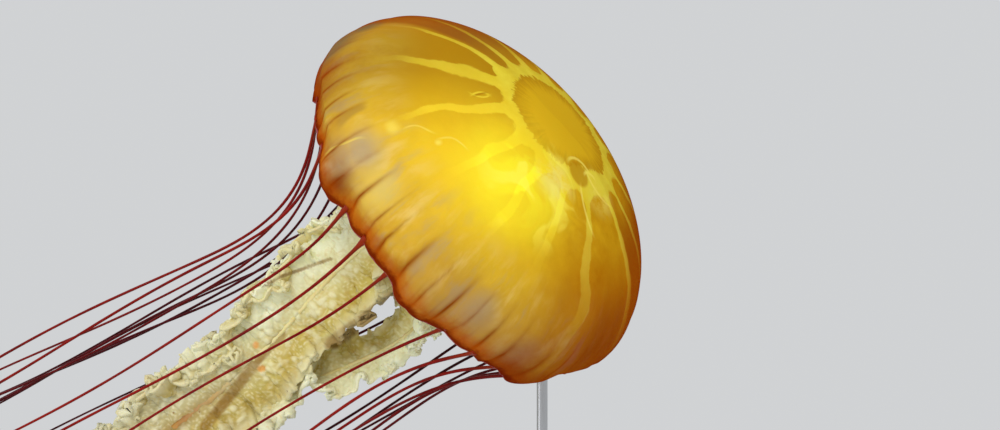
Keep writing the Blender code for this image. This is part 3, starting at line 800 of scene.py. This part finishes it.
# ---- the bell's jelly -----------------------------------------------------------------------
CLOUD, MOTTLE, FLECK = 0.045, 0.013, 0.0032  # size of a patch of cloud, mottle and fleck in the jelly
CELL = 0.026  # size of the paler cells in its clearest part
STREAKS_ROUND, STREAKS_DOWN, STREAKS_FINE = 3.6, 1.8, 2.4  # streaks run down the wall, long and narrow
DRIFT = 0.016  # how far markings stray, from one side of a plain outline to the other
DISC_TEETH = 15.0  # waves in a radian round the ragged edge of the crown's disc
DISC_EDGE = (0.197, 0.207)
RAY_STEP = math.pi / OCTANTS
PETAL_TIP, PETAL_POINT = 0.250, 0.075  # where a petal begins, and how much lower it does beside a ray
JELLY_GLOW = 0.10  # light that real jelly lets through, as a weak glow of its own colour

# Markings on the bell: angle in degrees, d and reach, and for some how soft the edge is.
FRONT = ((-95.0, 0.95, 0.062, 0.35), (-116.0, 0.92, 0.030, 0.4))  # where rays and petals fade out
PALE_PATCH = (-57.0, 0.75, 0.040, 0.3)  # where rays are faint
RAY_BLOT = (-169.0, 0.24, 0.0085, 0.5)  # a pale blot near the disc
DISC_NOTCH = (-28.0, 0.19, 0.018)
PANES = ((-121.0, 1.04, 0.014), (-120.0, 0.88, 0.013), (-63.0, 0.92, 0.010), (-45.0, 1.0, 0.011))
SCAR = (-123.0, 0.70, 0.0040, 0.7)
KNOTS = ((-112.0, 0.58, 0.0018), (-1.0, 0.30, 0.0016), (-126.0, 1.36, 0.0024), (-76.0, 1.50, 0.0030))
STRANDS = (  # the middle of each one's arc, a point on it, width and reach
    ((-110.0, 0.70), (-119.5, 0.61), 0.0006, 0.0085),
    ((-103.0, 0.60), (-111.0, 0.52), 0.0006, 0.0090),
    ((-100.0, 1.30), (-126.0, 0.98), 0.0007, 0.0170),
)
STRANDS_BY_DISC = (
    ((13.0, 0.200), (-15.5, 0.241), 0.0011, 0.0150),
    ((-21.0, 0.210), (-17.5, 0.173), 0.0010, 0.0065),
    ((-36.0, 0.190), (-30.0, 0.131), 0.0010, 0.0120),
    ((1.0, 0.320), (-36.5, 0.309), 0.0009, 0.0150),
)
LIDS = (
    ((-143.5, 0.335), (-133.2, 0.335), 0.0007, 0.0075),
    ((-126.5, 0.335), (-136.8, 0.335), 0.0007, 0.0075),
)
SLIT = ((-100.0, 0.335), (-135.6, 0.335), 0.0008, 0.0055)
FOLD_SETS = (  # creases all round, how sharp they are and where they begin
    (FURROWS, 10.0, 0.66),
    (FURROWS * 2 + 7, 7.0, 0.78),
    (FURROWS, 70.0, 0.70),
)


def bell_point(angle, d):
    """A point of the smooth bell, in its own frame, as a plain tuple. Angle in degrees."""
    return tuple(float(v) for v in on_bell(np.array(math.radians(angle)), np.array(float(d)), 0.0))


def patch(t, place, angle, d, reach, soft=0.6):
    """1 at a point of the bell, half at this reach from it and 0 beyond. Soft is how wide the edge is."""
    off = add(t, "VectorMath.DISTANCE", place, bell_point(angle, d), out=1)
    return amount(t, (off, reach * (1 + soft), reach * (1 - soft)))


def thread(t, place, middle, through, width, reach):
    """A thin strand: an arc round a middle, through a second point and only within this reach of it."""
    radius = math.dist(bell_point(*middle), bell_point(*through))
    round_it = add(t, "VectorMath.DISTANCE", place, bell_point(*middle), out=1)
    off = add(t, "Math.ABSOLUTE", add(t, "Math.SUBTRACT", round_it, radius))
    return amount(t, (off, width * 1.6, width * 0.4), patch(t, place, *through, reach, 0.35))


def angle_round(t, place):
    """The angle of a place round the bell."""
    x = add(t, "SeparateXYZ", place)
    return add(t, "Math.ARCTAN2", x.node.outputs[1], x)


def bell_paint(t):
    """What the bell's pattern is laid out by: place, angle, share of the way down, and uneven noises."""
    names = ("share", "rim", "side", "warp", "turn", "inside")
    at = {n: add(t, "Attribute", attribute_name=n, out=AS_NUMBER) for n in names}
    at["place"] = add(t, "Attribute", attribute_name="place", out=AS_VECTOR)
    stir = add(t, "TexNoise", at["place"], None, 1 / CLOUD, 2.0, 0.5, out=1)
    drift = add(t, "VectorMath.MULTIPLY_ADD", stir, (DRIFT,) * 3, at["place"])
    at["drift"] = add(t, "VectorMath.SUBTRACT", drift, (DRIFT / 2,) * 3)
    at["angle"] = angle_round(t, at["drift"])
    at["cloud"] = add(t, "TexNoise", at["place"], None, 1 / CLOUD, 3.0, 0.55)
    at["mottle"] = add(t, "TexNoise", at["place"], None, 1 / MOTTLE, 4.0, 0.6)
    at["fleck"] = add(t, "TexNoise", at["place"], None, 1 / FLECK, 3.0, 0.6)
    ragged = add(t, "Math.MULTIPLY_ADD", at["mottle"], 0.05, add(t, "Math.MULTIPLY", at["fleck"], 0.022))
    at["ragged"] = add(t, "Math.SUBTRACT", ragged, 0.036)
    at["right"] = amount(t, (add(t, "Math.COSINE", add(t, "Math.ADD", at["angle"], 0.3)), -0.2, 0.8))
    add_disc(t, at)
    turned = add(t, "Math.MULTIPLY", add(t, "Math.ADD", at["angle"], at["warp"]), STREAKS_ROUND)
    drawn = add(t, "CombineXYZ", turned, add(t, "Math.MULTIPLY", at["share"], STREAKS_DOWN), 0.0)
    at["streaks"] = add(t, "TexNoise", drawn, None, STREAKS_FINE, 4.0, 0.55)
    return at


def add_disc(t, at):
    """Adds the distance from the crown's middle, and the share that the disc's ragged edge follows."""
    flat = add(t, "VectorMath.MULTIPLY", at["drift"], (1.0, 1.0, 0.0))
    at["radius"] = add(t, "VectorMath.LENGTH", flat, out=1)
    at["teeth"] = add(t, "TexNoise", add(t, "VectorMath.NORMALIZE", flat), None, DISC_TEETH, 3.0, 0.7)
    notch = amount(t, patch(t, at["place"], *DISC_NOTCH), 0.040)
    notch = add(t, "Math.ADD", notch, add(t, "MapRange", at["teeth"], *WIDE_SPAN, -0.012, 0.012))
    at["disc"] = add(t, "Math.ADD", add(t, "Math.ADD", at["share"], at["ragged"]), notch)


def fading(t, at, left, right):
    """1 at the crown, falling down the bell: for each side, where the fall starts and ends and how low."""
    sides = [amount(t, (at["share"], start, end, 1.0, low)) for start, end, low in (left, right)]
    return add(t, "Mix", at["right"], None, *sides)


def ray_lines(t, at, near, front):
    """Sixteen pale rays, which narrow down the bell's left side, widen down its right and fade in front."""
    away = add(t, "Math.MULTIPLY_ADD", at["ragged"], 0.05, amount(t, near, at["radius"], RAY_STEP))
    left = add(t, "MapRange", at["share"], 0.22, 0.70, 0.0042, 0.0012)
    right = add(t, "MapRange", at["share"], 0.26, 0.66, 0.0017, 0.0040)
    half = add(t, "Mix", at["right"], None, left, right)
    line = amount(t, (add(t, "Math.SUBTRACT", away, half), -0.0004, 0.0011, 1.0, 0.0))
    faint = add(t, "Math.MAXIMUM", amount(t, front, 0.9), amount(t, patch(t, at["place"], *PALE_PATCH), 0.6))
    fade = fading(t, at, (0.52, 0.80, 0.0), (0.42, 0.84, 0.30))
    line = amount(t, line, fade, add(t, "Math.SUBTRACT", 1.0, faint))
    blot = add(t, "Math.ADD", patch(t, at["place"], *RAY_BLOT), at["ragged"])
    return add(t, "Math.MAXIMUM", line, amount(t, (blot, 0.42, 0.54)))


def ray_pattern(t, at):
    """Where the dark petals and disc are, where the pale rays are, and how strongly the petals show."""
    turned = add(t, "Math.ADD", at["angle"], at["turn"])
    turned = add(t, "Math.MULTIPLY_ADD", turned, 1 / RAY_STEP, -FIRST_SENSE_ORGAN / RAY_STEP)
    near = add(t, "Math.PINGPONG", turned, 0.5)
    front = add(t, "Math.MAXIMUM", *(patch(t, at["place"], *spot) for spot in FRONT))
    line = ray_lines(t, at, near, front)
    beside = add(t, "Math.POWER", add(t, "Math.MULTIPLY_ADD", near, -2.0, 1.0), 2.5)
    tip = add(t, "Math.MULTIPLY_ADD", beside, PETAL_POINT, PETAL_TIP)
    past = add(t, "Math.SUBTRACT", add(t, "Math.ADD", at["share"], at["ragged"]), tip)
    petal = amount(t, (past, -0.004, 0.010), add(t, "Math.SUBTRACT", 1.0, line))
    shown = fading(t, at, (0.50, 0.82, 0.0), (0.52, 0.84, 0.45))
    shown = amount(t, shown, add(t, "Math.MULTIPLY_ADD", front, -0.85, 1.0))
    return add(t, "Math.MAXIMUM", petal, amount(t, (at["disc"], *DISC_EDGE, 1.0, 0.0))), line, shown


def petal_colours(t, at, dark, line, shown):
    """Brown petals and disc, pale rays, and plain gold jelly where the petals fade."""
    brown = varied(t, at["mottle"], *WIDE_SPAN, "#CB9A16", "#B8820C")
    upper = add(t, "Math.COSINE", add(t, "Math.ADD", at["angle"], math.radians(168.0)))
    brown = tinted(t, brown, "#A87A12", (upper, 0.50, 0.95), 0.90)
    brown = tinted(t, brown, "#D0A41A", (at["share"], 0.22, 0.18))
    brim = (at["disc"], 0.125, 0.200), (at["share"], 0.24, 0.21), (at["teeth"], 0.20, 0.70, 0.35, 1.0)
    brown = tinted(t, brown, "#A4720C", *brim, 0.72)
    pale = varied(t, at["mottle"], *WIDE_SPAN, "#DECB3E", "#D2B628")
    left = add(t, "Math.SUBTRACT", 1.0, at["right"])
    pale = tinted(t, pale, "#C4A428", left, (at["share"], 0.25, 0.40), 0.60)
    pale = tinted(t, pale, "#CBA02E", at["right"], (at["share"], 0.28, 0.45), 0.70)
    plain = varied(t, at["cloud"], *SPAN, "#E0BC26", "#D0A81A")
    petals = tinted(t, plain, brown, shown)
    colour = tinted(t, petals, pale, add(t, "Math.SUBTRACT", 1.0, dark))
    return tinted(t, colour, petals, (at["share"], 0.34, 0.40), add(t, "Math.SUBTRACT", 1.0, line))


def gathered_light(t, at, colour, dark):
    """Painted light: a bright yellow glow in the bell's clearest part, where the jelly is thick, with paler,
    harder-edged cells.
    """
    core = patch(t, at["drift"], -84.0, 0.40, 0.029, 0.85)
    wide = patch(t, at["place"], -94.0, 0.52, 0.060, 0.70)
    # Painted glow: a wide bright patch and a brighter core.
    colour = tinted(t, colour, "#F5D02B", wide, add(t, "Math.MULTIPLY_ADD", dark, -0.30, 0.90))
    colour = tinted(t, colour, "#FFF230", core, add(t, "Math.MULTIPLY_ADD", dark, -0.25, 0.98))
    cells = add(t, "TexNoise", at["drift"], None, 1 / CELL, 2.0, 0.45, None, None, None, 0.8)
    near = patch(t, at["place"], -74.0, 0.34, 0.034, 0.5)
    colour = tinted(t, colour, "#FFF35C", (cells, 0.50, 0.58), near, 0.45)
    return tinted(t, colour, "#E9BE1E", (cells, 0.47, 0.40), near, 0.40)


def lower_wall(t, at, colour):
    """Cloudier jelly towards the margin: dull gold, with cream blooms and grey-violet panes down it, and
    painted shade that darkens the lower wall and its upper left.
    """
    lower = add(t, "Math.ADD", at["share"], at["ragged"])
    turn = amount(t, (add(t, "Math.COSINE", at["angle"]), 0.55, 0.95))
    gold = varied(t, at["cloud"], *SPAN, "#D6AC34", "#BE9430")
    colour = tinted(t, colour, gold, (lower, 0.50, 0.80), add(t, "Math.MULTIPLY_ADD", turn, -0.5, 1.0), 0.85)
    band = amount(t, (at["share"], 0.54, 0.76), (at["share"], 0.90, 0.98, 1.0, 0.0))
    colour = tinted(t, colour, "#DFC272", band, (at["streaks"], 0.52, 0.30), 0.75)
    pane = amount(t, band, (at["streaks"], 0.50, 0.70), 0.60)
    for spot in PANES:
        pane = add(t, "Math.MAXIMUM", pane, amount(t, patch(t, at["drift"], *spot, 0.8), 0.72))
    colour = tinted(t, colour, "#A1917A", pane)
    # Painted shade: a darker, duller patch low on the wall.
    dull = patch(t, at["drift"], -62.0, 1.1, 0.052, 0.5)
    colour = tinted(t, colour, "#A87C3E", dull, (at["share"], 0.66, 0.90), 0.70)
    stain = patch(t, at["drift"], -114.0, 1.12, 0.0075, 0.8)
    colour = tinted(t, colour, "#946428", stain, 0.60)
    smudge = thread(t, at["drift"], (-100.0, 0.80), (-132.5, 0.88), 0.0034, 0.0110)
    colour = tinted(t, colour, "#8A6436", smudge, 0.50)
    # Painted shade on the wall's upper left.
    shade = patch(t, at["drift"], -162.0, 0.95, 0.058, 0.45)
    colour = tinted(t, colour, "#9C8028", shade, (at["share"], 0.38, 0.60), 0.62)
    # Painted shade: patchy darkening towards the margin, strongest on the bell's left.
    left = add(t, "Math.MULTIPLY_ADD", at["right"], -0.6, 0.75)
    colour = tinted(t, colour, "#9A6420", (at["cloud"], 0.56, 0.42), (at["share"], 0.74, 0.92), left)
    pale = patch(t, at["drift"], -108.0, 0.90, 0.013, 0.8)
    return tinted(t, colour, "#D6BC5C", pale, 0.70)


def pale_marks(t, at):
    """Pale strands, knots and a scar that show through the jelly."""
    pale = amount(t, patch(t, at["drift"], *SCAR), 0.5)
    for strands, place, strength in ((STRANDS, "drift", 0.42), (STRANDS_BY_DISC, "place", 0.65)):
        for strand in strands:
            pale = add(t, "Math.MAXIMUM", pale, amount(t, thread(t, at[place], *strand), strength))
    for knot in KNOTS:
        pale = add(t, "Math.MAXIMUM", pale, amount(t, patch(t, at["drift"], *knot, 0.8), 0.7))
    return pale


def small_marks(t, at, colour):
    """Small things within the jelly: a brown loop, cream blots, pale strands, and a slit between two lids."""
    loop = patch(t, at["place"], -37.0, 0.185, 0.0088, 0.15)
    colour = tinted(t, colour, "#B07C0E", loop, 0.75)
    cream = patch(t, at["place"], -64.0, 0.27, 0.013)
    colour = tinted(t, colour, "#EEE07C", cream, (at["mottle"], 0.38, 0.58), 0.55)
    blotch = amount(t, patch(t, at["drift"], -14.0, 0.24, 0.013), (at["mottle"], 0.40, 0.62), 0.50)
    colour = tinted(t, colour, "#EDD95E", add(t, "Math.MAXIMUM", pale_marks(t, at), blotch))
    lids = 0.0
    for lid in LIDS:
        lids = add(t, "Math.MAXIMUM", thread(t, at["drift"], *lid), lids)
    colour = tinted(t, colour, "#E6CE36", lids, 0.75)
    return tinted(t, colour, "#A06C0C", thread(t, at["drift"], *SLIT), 0.60)


def folds(t, at):
    """Thin creases between the soft folds of the lower wall, where painted shade falls: a coarse set, a fine
    one and a hairline one.
    """
    angle = add(t, "Math.ADD", angle_round(t, at["place"]), at["warp"])
    found = []
    for count, sharp, top in FOLD_SETS:
        wave = add(t, "Math.COSINE", add(t, "Math.MULTIPLY", angle, float(count)))
        wave = add(t, "Math.POWER", add(t, "Math.MULTIPLY_ADD", wave, 0.5, 0.5), sharp)
        found.append(amount(t, wave, (at["share"], top, top + 0.22)))
    coarse, fine, hairline = found
    return add(t, "Math.MULTIPLY_ADD", hairline, 0.50, add(t, "Math.MULTIPLY_ADD", fine, 0.55, coarse))


def russet_and_limb_shade(t, at, colour, line):
    """The bell's deeper-coloured half: rust-brown petals and amber rays, with painted shade down its right
    limb and along its outline, where the thick jelly stands edge-on.
    """
    # Painted shade: rust and deep red-brown down the bell's right limb.
    across = add(t, "Math.COSINE", at["angle"])
    off_rays = add(t, "Math.MULTIPLY_ADD", line, -0.5, 0.74)
    colour = tinted(t, colour, "#A04204", (across, 0.50, 0.98), (at["share"], 0.34, 0.66), off_rays)
    off_rays = add(t, "Math.MULTIPLY_ADD", line, -0.4, 0.58)
    colour = tinted(t, colour, "#7A2A04", (across, 0.84, 0.995), (at["share"], 0.50, 0.74), off_rays)
    rust = add(t, "MixRGB", at["right"], srgb("#84481A"), srgb("#8A3406"))
    far = (add(t, "Math.SINE", at["angle"]), -0.09, 0.01)
    off_rays = add(t, "Math.MULTIPLY_ADD", line, -0.30, 0.82)
    colour = tinted(t, colour, rust, far, (at["share"], 0.22, 0.48, 0.15, 1.0), off_rays)
    # Painted shade along the outline seen from the side the model is shown from.
    colour = tinted(t, colour, "#B05C06", (at["side"], 0.40, 0.84), (at["share"], 0.36, 0.62), 0.45)
    colour = tinted(t, colour, "#7C2606", (at["side"], 0.70, 1.0), (at["share"], 0.30, 0.55, 0.45, 1.0), 0.74)
    lobe = patch(t, at["place"], -170.0, 1.13, 0.024, 0.5)
    lobe = add(t, "Math.MAXIMUM", lobe, patch(t, at["drift"], -176.0, 0.82, 0.010))
    colour = tinted(t, colour, "#6A6444", lobe, 0.78)
    nick = patch(t, at["drift"], -115.0, 1.40, 0.0045, 0.9)
    return tinted(t, colour, "#6A2C0C", nick, 0.7)


def margin_colours(t, at, colour):
    """The rust-red margin, deepest at its edge and away from the front, with a painted pinkish highlight
    along its rim.
    """
    edge = add(t, "Math.MULTIPLY_ADD", at["ragged"], 0.20, at["rim"])
    colour = tinted(t, colour, "#A84A06", (edge, 0.0215, 0.0045), 0.90)
    front = add(t, "Math.COSINE", add(t, "Math.ADD", at["angle"], math.radians(95.0)))
    colour = tinted(t, colour, "#7E2E06", (edge, 0.0340, 0.0100), (front, 0.80, 0.55), 0.70)
    nook = patch(t, at["drift"], -116.0, 1.36, 0.011, 0.7)
    colour = tinted(t, colour, "#6E2404", nook, 0.45)
    colour = tinted(t, colour, "#6A1804", (edge, 0.0076, 0.0016), 0.90)
    # Painted highlight: a thin pinkish line along the rim.
    return tinted(t, colour, "#B06A78", (at["rim"], 0.0006, 0.0001), 0.5)


def bell_jelly():
    """Gelatinous bell, wet and cloudy: soft gold with dark petals, pale rays and a rust-red margin."""
    made, t = new_surface("wet_bell_jelly")
    at = bell_paint(t)
    dark, line, shown = ray_pattern(t, at)
    colour = petal_colours(t, at, dark, line, shown)
    colour = gathered_light(t, at, colour, dark)
    colour = lower_wall(t, at, colour)
    colour = small_marks(t, at, colour)
    creased = add(t, "MapRange", at["streaks"], 0.35, 0.60, 0.35, 1.0)
    # Painted shade in the creases.
    colour = tinted(t, colour, "#86400A", folds(t, at), creased, 0.85)
    colour = russet_and_limb_shade(t, at, colour, line)
    colour = margin_colours(t, at, colour)
    colour = tinted(t, colour, "#B98C3C", at["inside"], 0.45)
    height = add(t, "Math.MULTIPLY_ADD", at["fleck"], 0.25, at["mottle"])
    sockets = {
        "Base Color": colour,
        "Emission Color": colour,
        "Emission Strength": JELLY_GLOW,
        "Roughness": add(t, "MapRange", at["mottle"], *WIDE_SPAN, 0.26, 0.38),
        "IOR": 1.36,
        "Specular IOR Level": 0.0,  # as under water, where jelly mirrors nothing
        "Subsurface Weight": 0.30,
        "Subsurface Radius": (1.0, 0.45, 0.10),
        "Subsurface Scale": 0.004,
        "Normal": add(t, "Bump", 0.25, 0.0006, None, height),
    }
    set_shader(t, sockets)
    return made


# ---- tentacles, arms and stand --------------------------------------------------------------
TENTACLE_BAND = 0.020  # length of a lighter or darker stretch
MUSCLE_GRAIN = 0.0020  # muscle fibres, far coarser than the real ones, which wouldn't show
RIB_BLOTCH = 0.012  # size of a darker or paler blotch on a midrib
VEIL_CLOUD, CURD, LIP_GRAIN = 0.018, 0.0060, 0.0022  # cloudy patches, small curds and grain of the veil
SPECK_APART = 0.009  # from one brown speck to the next
PEEL, WEAR = 0.0016, 0.06  # waves of the baked powder, and its slow unevenness
SCRATCH = 0.0004  # far coarser than the real scratches, which wouldn't show
SCRATCH_SHRINK = 0.02  # so that they run along the rod for 50 times their width
FLOOR_CLOUDS, FLOOR_FADE = 9.0, (0.9, 2.1)  # patches in a metre, and how far out the floor fades


def tentacle_flesh():
    """Wet muscular tentacle: dull red on the bell's near side, maroon as painted shade on its far side, rusty
    at the root.
    """
    made, t = new_surface("wet_tentacle_flesh")
    along, tone = (add(t, "Attribute", attribute_name=n, out=AS_NUMBER) for n in ("along", "tone"))
    place = add(t, "TexCoord", out=ON_OBJECT)
    bands = add(t, "TexNoise", place, None, 1 / TENTACLE_BAND, 3.0, 0.6)
    grain = add(t, "TexNoise", place, None, 1 / MUSCLE_GRAIN, 2.0, 0.5)
    maroon = varied(t, bands, *SPAN, "#34050C", "#4C0912")
    # Painted shade: far-side tentacles maroon, near-side ones red.
    colour = tinted(t, maroon, varied(t, bands, *SPAN, "#700A06", "#8E1408"), tone)
    rooted = add(t, "Math.MULTIPLY_ADD", tone, 0.5, 0.5)
    sockets = {
        "Base Color": tinted(t, colour, "#8C2606", (along, 0.034, 0.004), rooted),
        "Roughness": 0.32,
        "IOR": 1.38,
        "Specular IOR Level": 0.14,
        "Subsurface Weight": 0.10,
        "Subsurface Radius": (1.0, 0.3, 0.2),
        "Subsurface Scale": 0.0012,
        "Normal": add(t, "Bump", 0.2, 0.0002, None, grain),
    }
    set_shader(t, sockets)
    return made


def rib_flesh():
    """Firm midrib of a mouth arm: a blotchy amber-brown cord, cream where the veil covers it."""
    made, t = new_surface("wet_midrib_flesh")
    bare = add(t, "Attribute", attribute_name="bare", out=AS_NUMBER)
    blotch = add(t, "TexNoise", add(t, "TexCoord", out=ON_OBJECT), None, 1 / RIB_BLOTCH, 4.0, 0.6)
    veiled = varied(t, blotch, *SPAN, "#EFE4A8", "#DCCB84")
    sockets = {
        "Base Color": tinted(t, veiled, varied(t, blotch, *SPAN, "#94581C", "#B8843C"), bare),
        "Roughness": 0.38,
        "IOR": 1.38,
        "Subsurface Weight": 0.2,
        "Subsurface Scale": 0.003,
        "Normal": add(t, "Bump", 0.3, 0.0004, None, blotch),
    }
    set_shader(t, sockets)
    return made


def lip_colours(t, place, cloud, curd):
    """Cream that is whiter on beads and edge, straw-yellow between them, with painted shade in the hollows
    between beads and the midrib showing through.
    """
    names = ("edge", "puff", "bare", "ripe", "along", "streak", "spot")
    at = {n: add(t, "Attribute", attribute_name=n, out=AS_NUMBER) for n in names}
    colour = varied(t, cloud, *SPAN, "#ECF0CE", "#DEDDAA")
    colour = tinted(t, colour, varied(t, cloud, *SPAN, "#D2C46C", "#BEA850"), at["ripe"])
    colour = tinted(t, colour, "#967E4C", (at["along"], 0.10, 0.32), 0.62)
    white = add(t, "Math.MAXIMUM", amount(t, (at["edge"], 0.60, 1.0)), amount(t, (at["puff"], 0.35, 0.95)))
    colour = tinted(t, colour, "#F5F6D8", white, 0.45)
    colour = tinted(t, colour, "#CDB468", (curd, 0.46, 0.34), 0.35)
    # Painted shade in the hollows between beads.
    pit_shade = (at["puff"], 0.25, 0.0), (cloud, 0.44, 0.60), (at["along"], 0.06, 0.25)
    colour = tinted(t, colour, "#B98F48", *pit_shade, 0.22)
    seen = add(t, "Math.MAXIMUM", amount(t, (at["edge"], 0.24, 0.0), at["bare"]), at["streak"])
    colour = tinted(t, colour, "#86601A", seen, add(t, "MapRange", cloud, *SPAN, 0.85, 0.50))
    colour = tinted(t, colour, "#DD9440", at["spot"], 0.70)
    speck = add(t, "TexVoronoi", place, None, 1 / SPECK_APART)
    return tinted(t, colour, "#8A5426", (speck, 0.11, 0.04), (cloud, 0.50, 0.58), 0.7)


def lip_flesh():
    """Soft frilled lip: a moist cream veil, cloudy and a little curdled, with brown specks."""
    made, t = new_surface("wet_lip_flesh")
    place = add(t, "TexCoord", out=ON_OBJECT)
    cloud = add(t, "TexNoise", place, None, 1 / VEIL_CLOUD, 4.0, 0.6)
    curd = add(t, "TexNoise", place, None, 1 / CURD, 3.0, 0.55, None, None, None, 0.6)
    grain = add(t, "TexNoise", place, None, 1 / LIP_GRAIN, 3.0, 0.6)
    colour = lip_colours(t, place, cloud, curd)
    sockets = {
        "Base Color": colour,
        "Emission Color": colour,
        "Emission Strength": JELLY_GLOW,
        "Roughness": 0.45,
        "IOR": 1.36,
        "Specular IOR Level": 0.08,
        "Subsurface Weight": 0.30,
        "Subsurface Radius": (1.0, 0.8, 0.45),
        "Subsurface Scale": 0.003,
        "Normal": add(t, "Bump", 0.40, 0.0010, None, add(t, "Math.MULTIPLY_ADD", grain, 0.4, curd)),
    }
    set_shader(t, sockets)
    return made


def powder_coat():
    """Powder-coated steel: even dark grey with the fine orange-peel of baked powder."""
    made, t = new_surface("powder_coated_steel")
    place = add(t, "TexCoord", out=ON_OBJECT)
    peel = add(t, "TexNoise", place, None, 1 / PEEL, 2.0, 0.5)
    worn = add(t, "TexNoise", place, None, 1 / WEAR, 4.0, 0.6)
    sockets = {
        "Base Color": varied(t, worn, *SPAN, "#4A4B4D", "#535456"),
        "Roughness": add(t, "MapRange", worn, *WIDE_SPAN, 0.42, 0.56),
        "IOR": 1.45,
        "Normal": add(t, "Bump", 0.2, 0.0002, None, peel),
    }
    set_shader(t, sockets)
    return made


def drawn_steel():
    """Drawn stainless rod: bright, with fine scratches along its length."""
    made, t = new_surface("drawn_stainless_steel")
    squashed = add(t, "VectorMath.MULTIPLY", add(t, "TexCoord", out=ON_OBJECT), (1.0, 1.0, SCRATCH_SHRINK))
    lines = add(t, "TexNoise", squashed, None, 1 / SCRATCH, 3.0, 0.6)
    sockets = {
        "Base Color": varied(t, lines, *WIDE_SPAN, "#C4C5C6", "#B2B3B5"),
        "Metallic": 1.0,
        "Roughness": add(t, "MapRange", lines, *WIDE_SPAN, 0.22, 0.36),
        "Normal": add(t, "Bump", 0.1, 0.00005, None, lines),
    }
    set_shader(t, sockets)
    return made


def floor_paint():
    """Matt pale floor paint that fades out, so that no rim shows against the backdrop."""
    made, t = new_surface("matt_floor_paint")
    place = add(t, "TexCoord", out=ON_OBJECT)
    grain = add(t, "TexNoise", place, None, FLOOR_CLOUDS, 3.0, 0.5)
    away = add(t, "VectorMath.LENGTH", place, out=1)
    sockets = {
        "Base Color": add(t, "MixRGB", grain, srgb("#DFE1E3"), srgb("#E4E6E8")),
        "Roughness": 0.8,
        "IOR": 1.45,
        "Alpha": amount(t, (away, *FLOOR_FADE, 1.0, 0.0)),
    }
    set_shader(t, sockets)
    return made


# ---- stage ----------------------------------------------------------------------------------
FLOOR_RADIUS, FLOOR_DROP = 4.0, 0.0005
LIGHT_SIZE = 1.4
CAMERA_AWAY, VIEW_WIDTH, SENSOR = 2.4, 0.628, 36.0  # the sensor in millimetres
CAMERA_RIGHT, CAMERA_DOWN = 0.0191, 0.0090  # from the bell's centre


def floor():
    """A pale disc just under the stand."""
    mesh = bpy.data.meshes.new("floor")
    rim = [(FLOOR_RADIUS * math.cos(a), FLOOR_RADIUS * math.sin(a), 0.0) for a in round_turn(96)]
    mesh.from_pydata(rim, [], [list(range(96))])
    mesh.materials.append(floor_paint())
    made = placed(bpy.data.objects.new("floor", mesh))
    made.location.z = CAD_BOX[0].z - FLOOR_DROP


def soft_light(name, place, power, colour):
    """A round soft light that faces the bell."""
    data = bpy.data.lights.new(name, "AREA")
    data.shape = "DISK"
    data.size = LIGHT_SIZE
    data.energy = power
    data.color = colour
    made = placed(bpy.data.objects.new(name, data))
    made.location = place
    made.rotation_mode = "QUATERNION"
    made.rotation_quaternion = (Vector(BELL_CENTRE) - Vector(place)).to_track_quat("-Z", "Y")


def studio():
    """An even pale backdrop, a warm key light and a weak cool fill."""
    world = bpy.data.worlds.new("studio")
    bpy.context.scene.world = world
    world.use_nodes = True
    sky = world.node_tree.nodes["Background"]
    sky.inputs["Color"].default_value = srgb("#F1F3F5")
    sky.inputs["Strength"].default_value = 0.72
    soft_light("key", (-0.5, -2.2, 1.9), 33.0, (1.0, 0.97, 0.92))
    soft_light("fill", (-1.8, -1.2, 0.5), 6.0, (0.95, 0.97, 1.0))
    bpy.context.scene.view_settings.view_transform = "Standard"


def camera():
    """Level with the bell, a little to its right, looking along +Y with a long lens."""
    data = bpy.data.cameras.new("camera")
    data.sensor_width = SENSOR
    data.lens = SENSOR * CAMERA_AWAY / VIEW_WIDTH
    made = placed(bpy.data.objects.new("camera", data))
    made.location = Vector(BELL_CENTRE) + Vector((CAMERA_RIGHT, -CAMERA_AWAY, -CAMERA_DOWN))
    made.rotation_euler = (math.pi / 2, 0.0, 0.0)
    bpy.context.scene.camera = made


def main():
    """Stage first, then the skin, the lips and the stand's finishes."""
    camera()
    studio()
    floor()
    flesh = [bell_jelly(), tentacle_flesh(), rib_flesh()]
    skin = joined("sea_nettle_skin", [bell_skin(), *tentacle_skins(), *arm_ribs(), stalk_skin()], flesh)
    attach(skin, "root")
    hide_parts(*[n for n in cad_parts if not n.startswith("stand_")])
    cream = lip_flesh()
    for arm in range(ARMS):
        for hand, name in ((1.0, "left"), (-1.0, "right")):
            lip = joined(f"mouth_arm_{arm + 1}_{name}_lip", [lip_skin(arm, hand)], [cream])
            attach(lip, "root")
    for node, surface in (("stand_base", powder_coat()), ("stand_rod", drawn_steel())):
        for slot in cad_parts[node].material_slots:
            slot.material = surface


main()
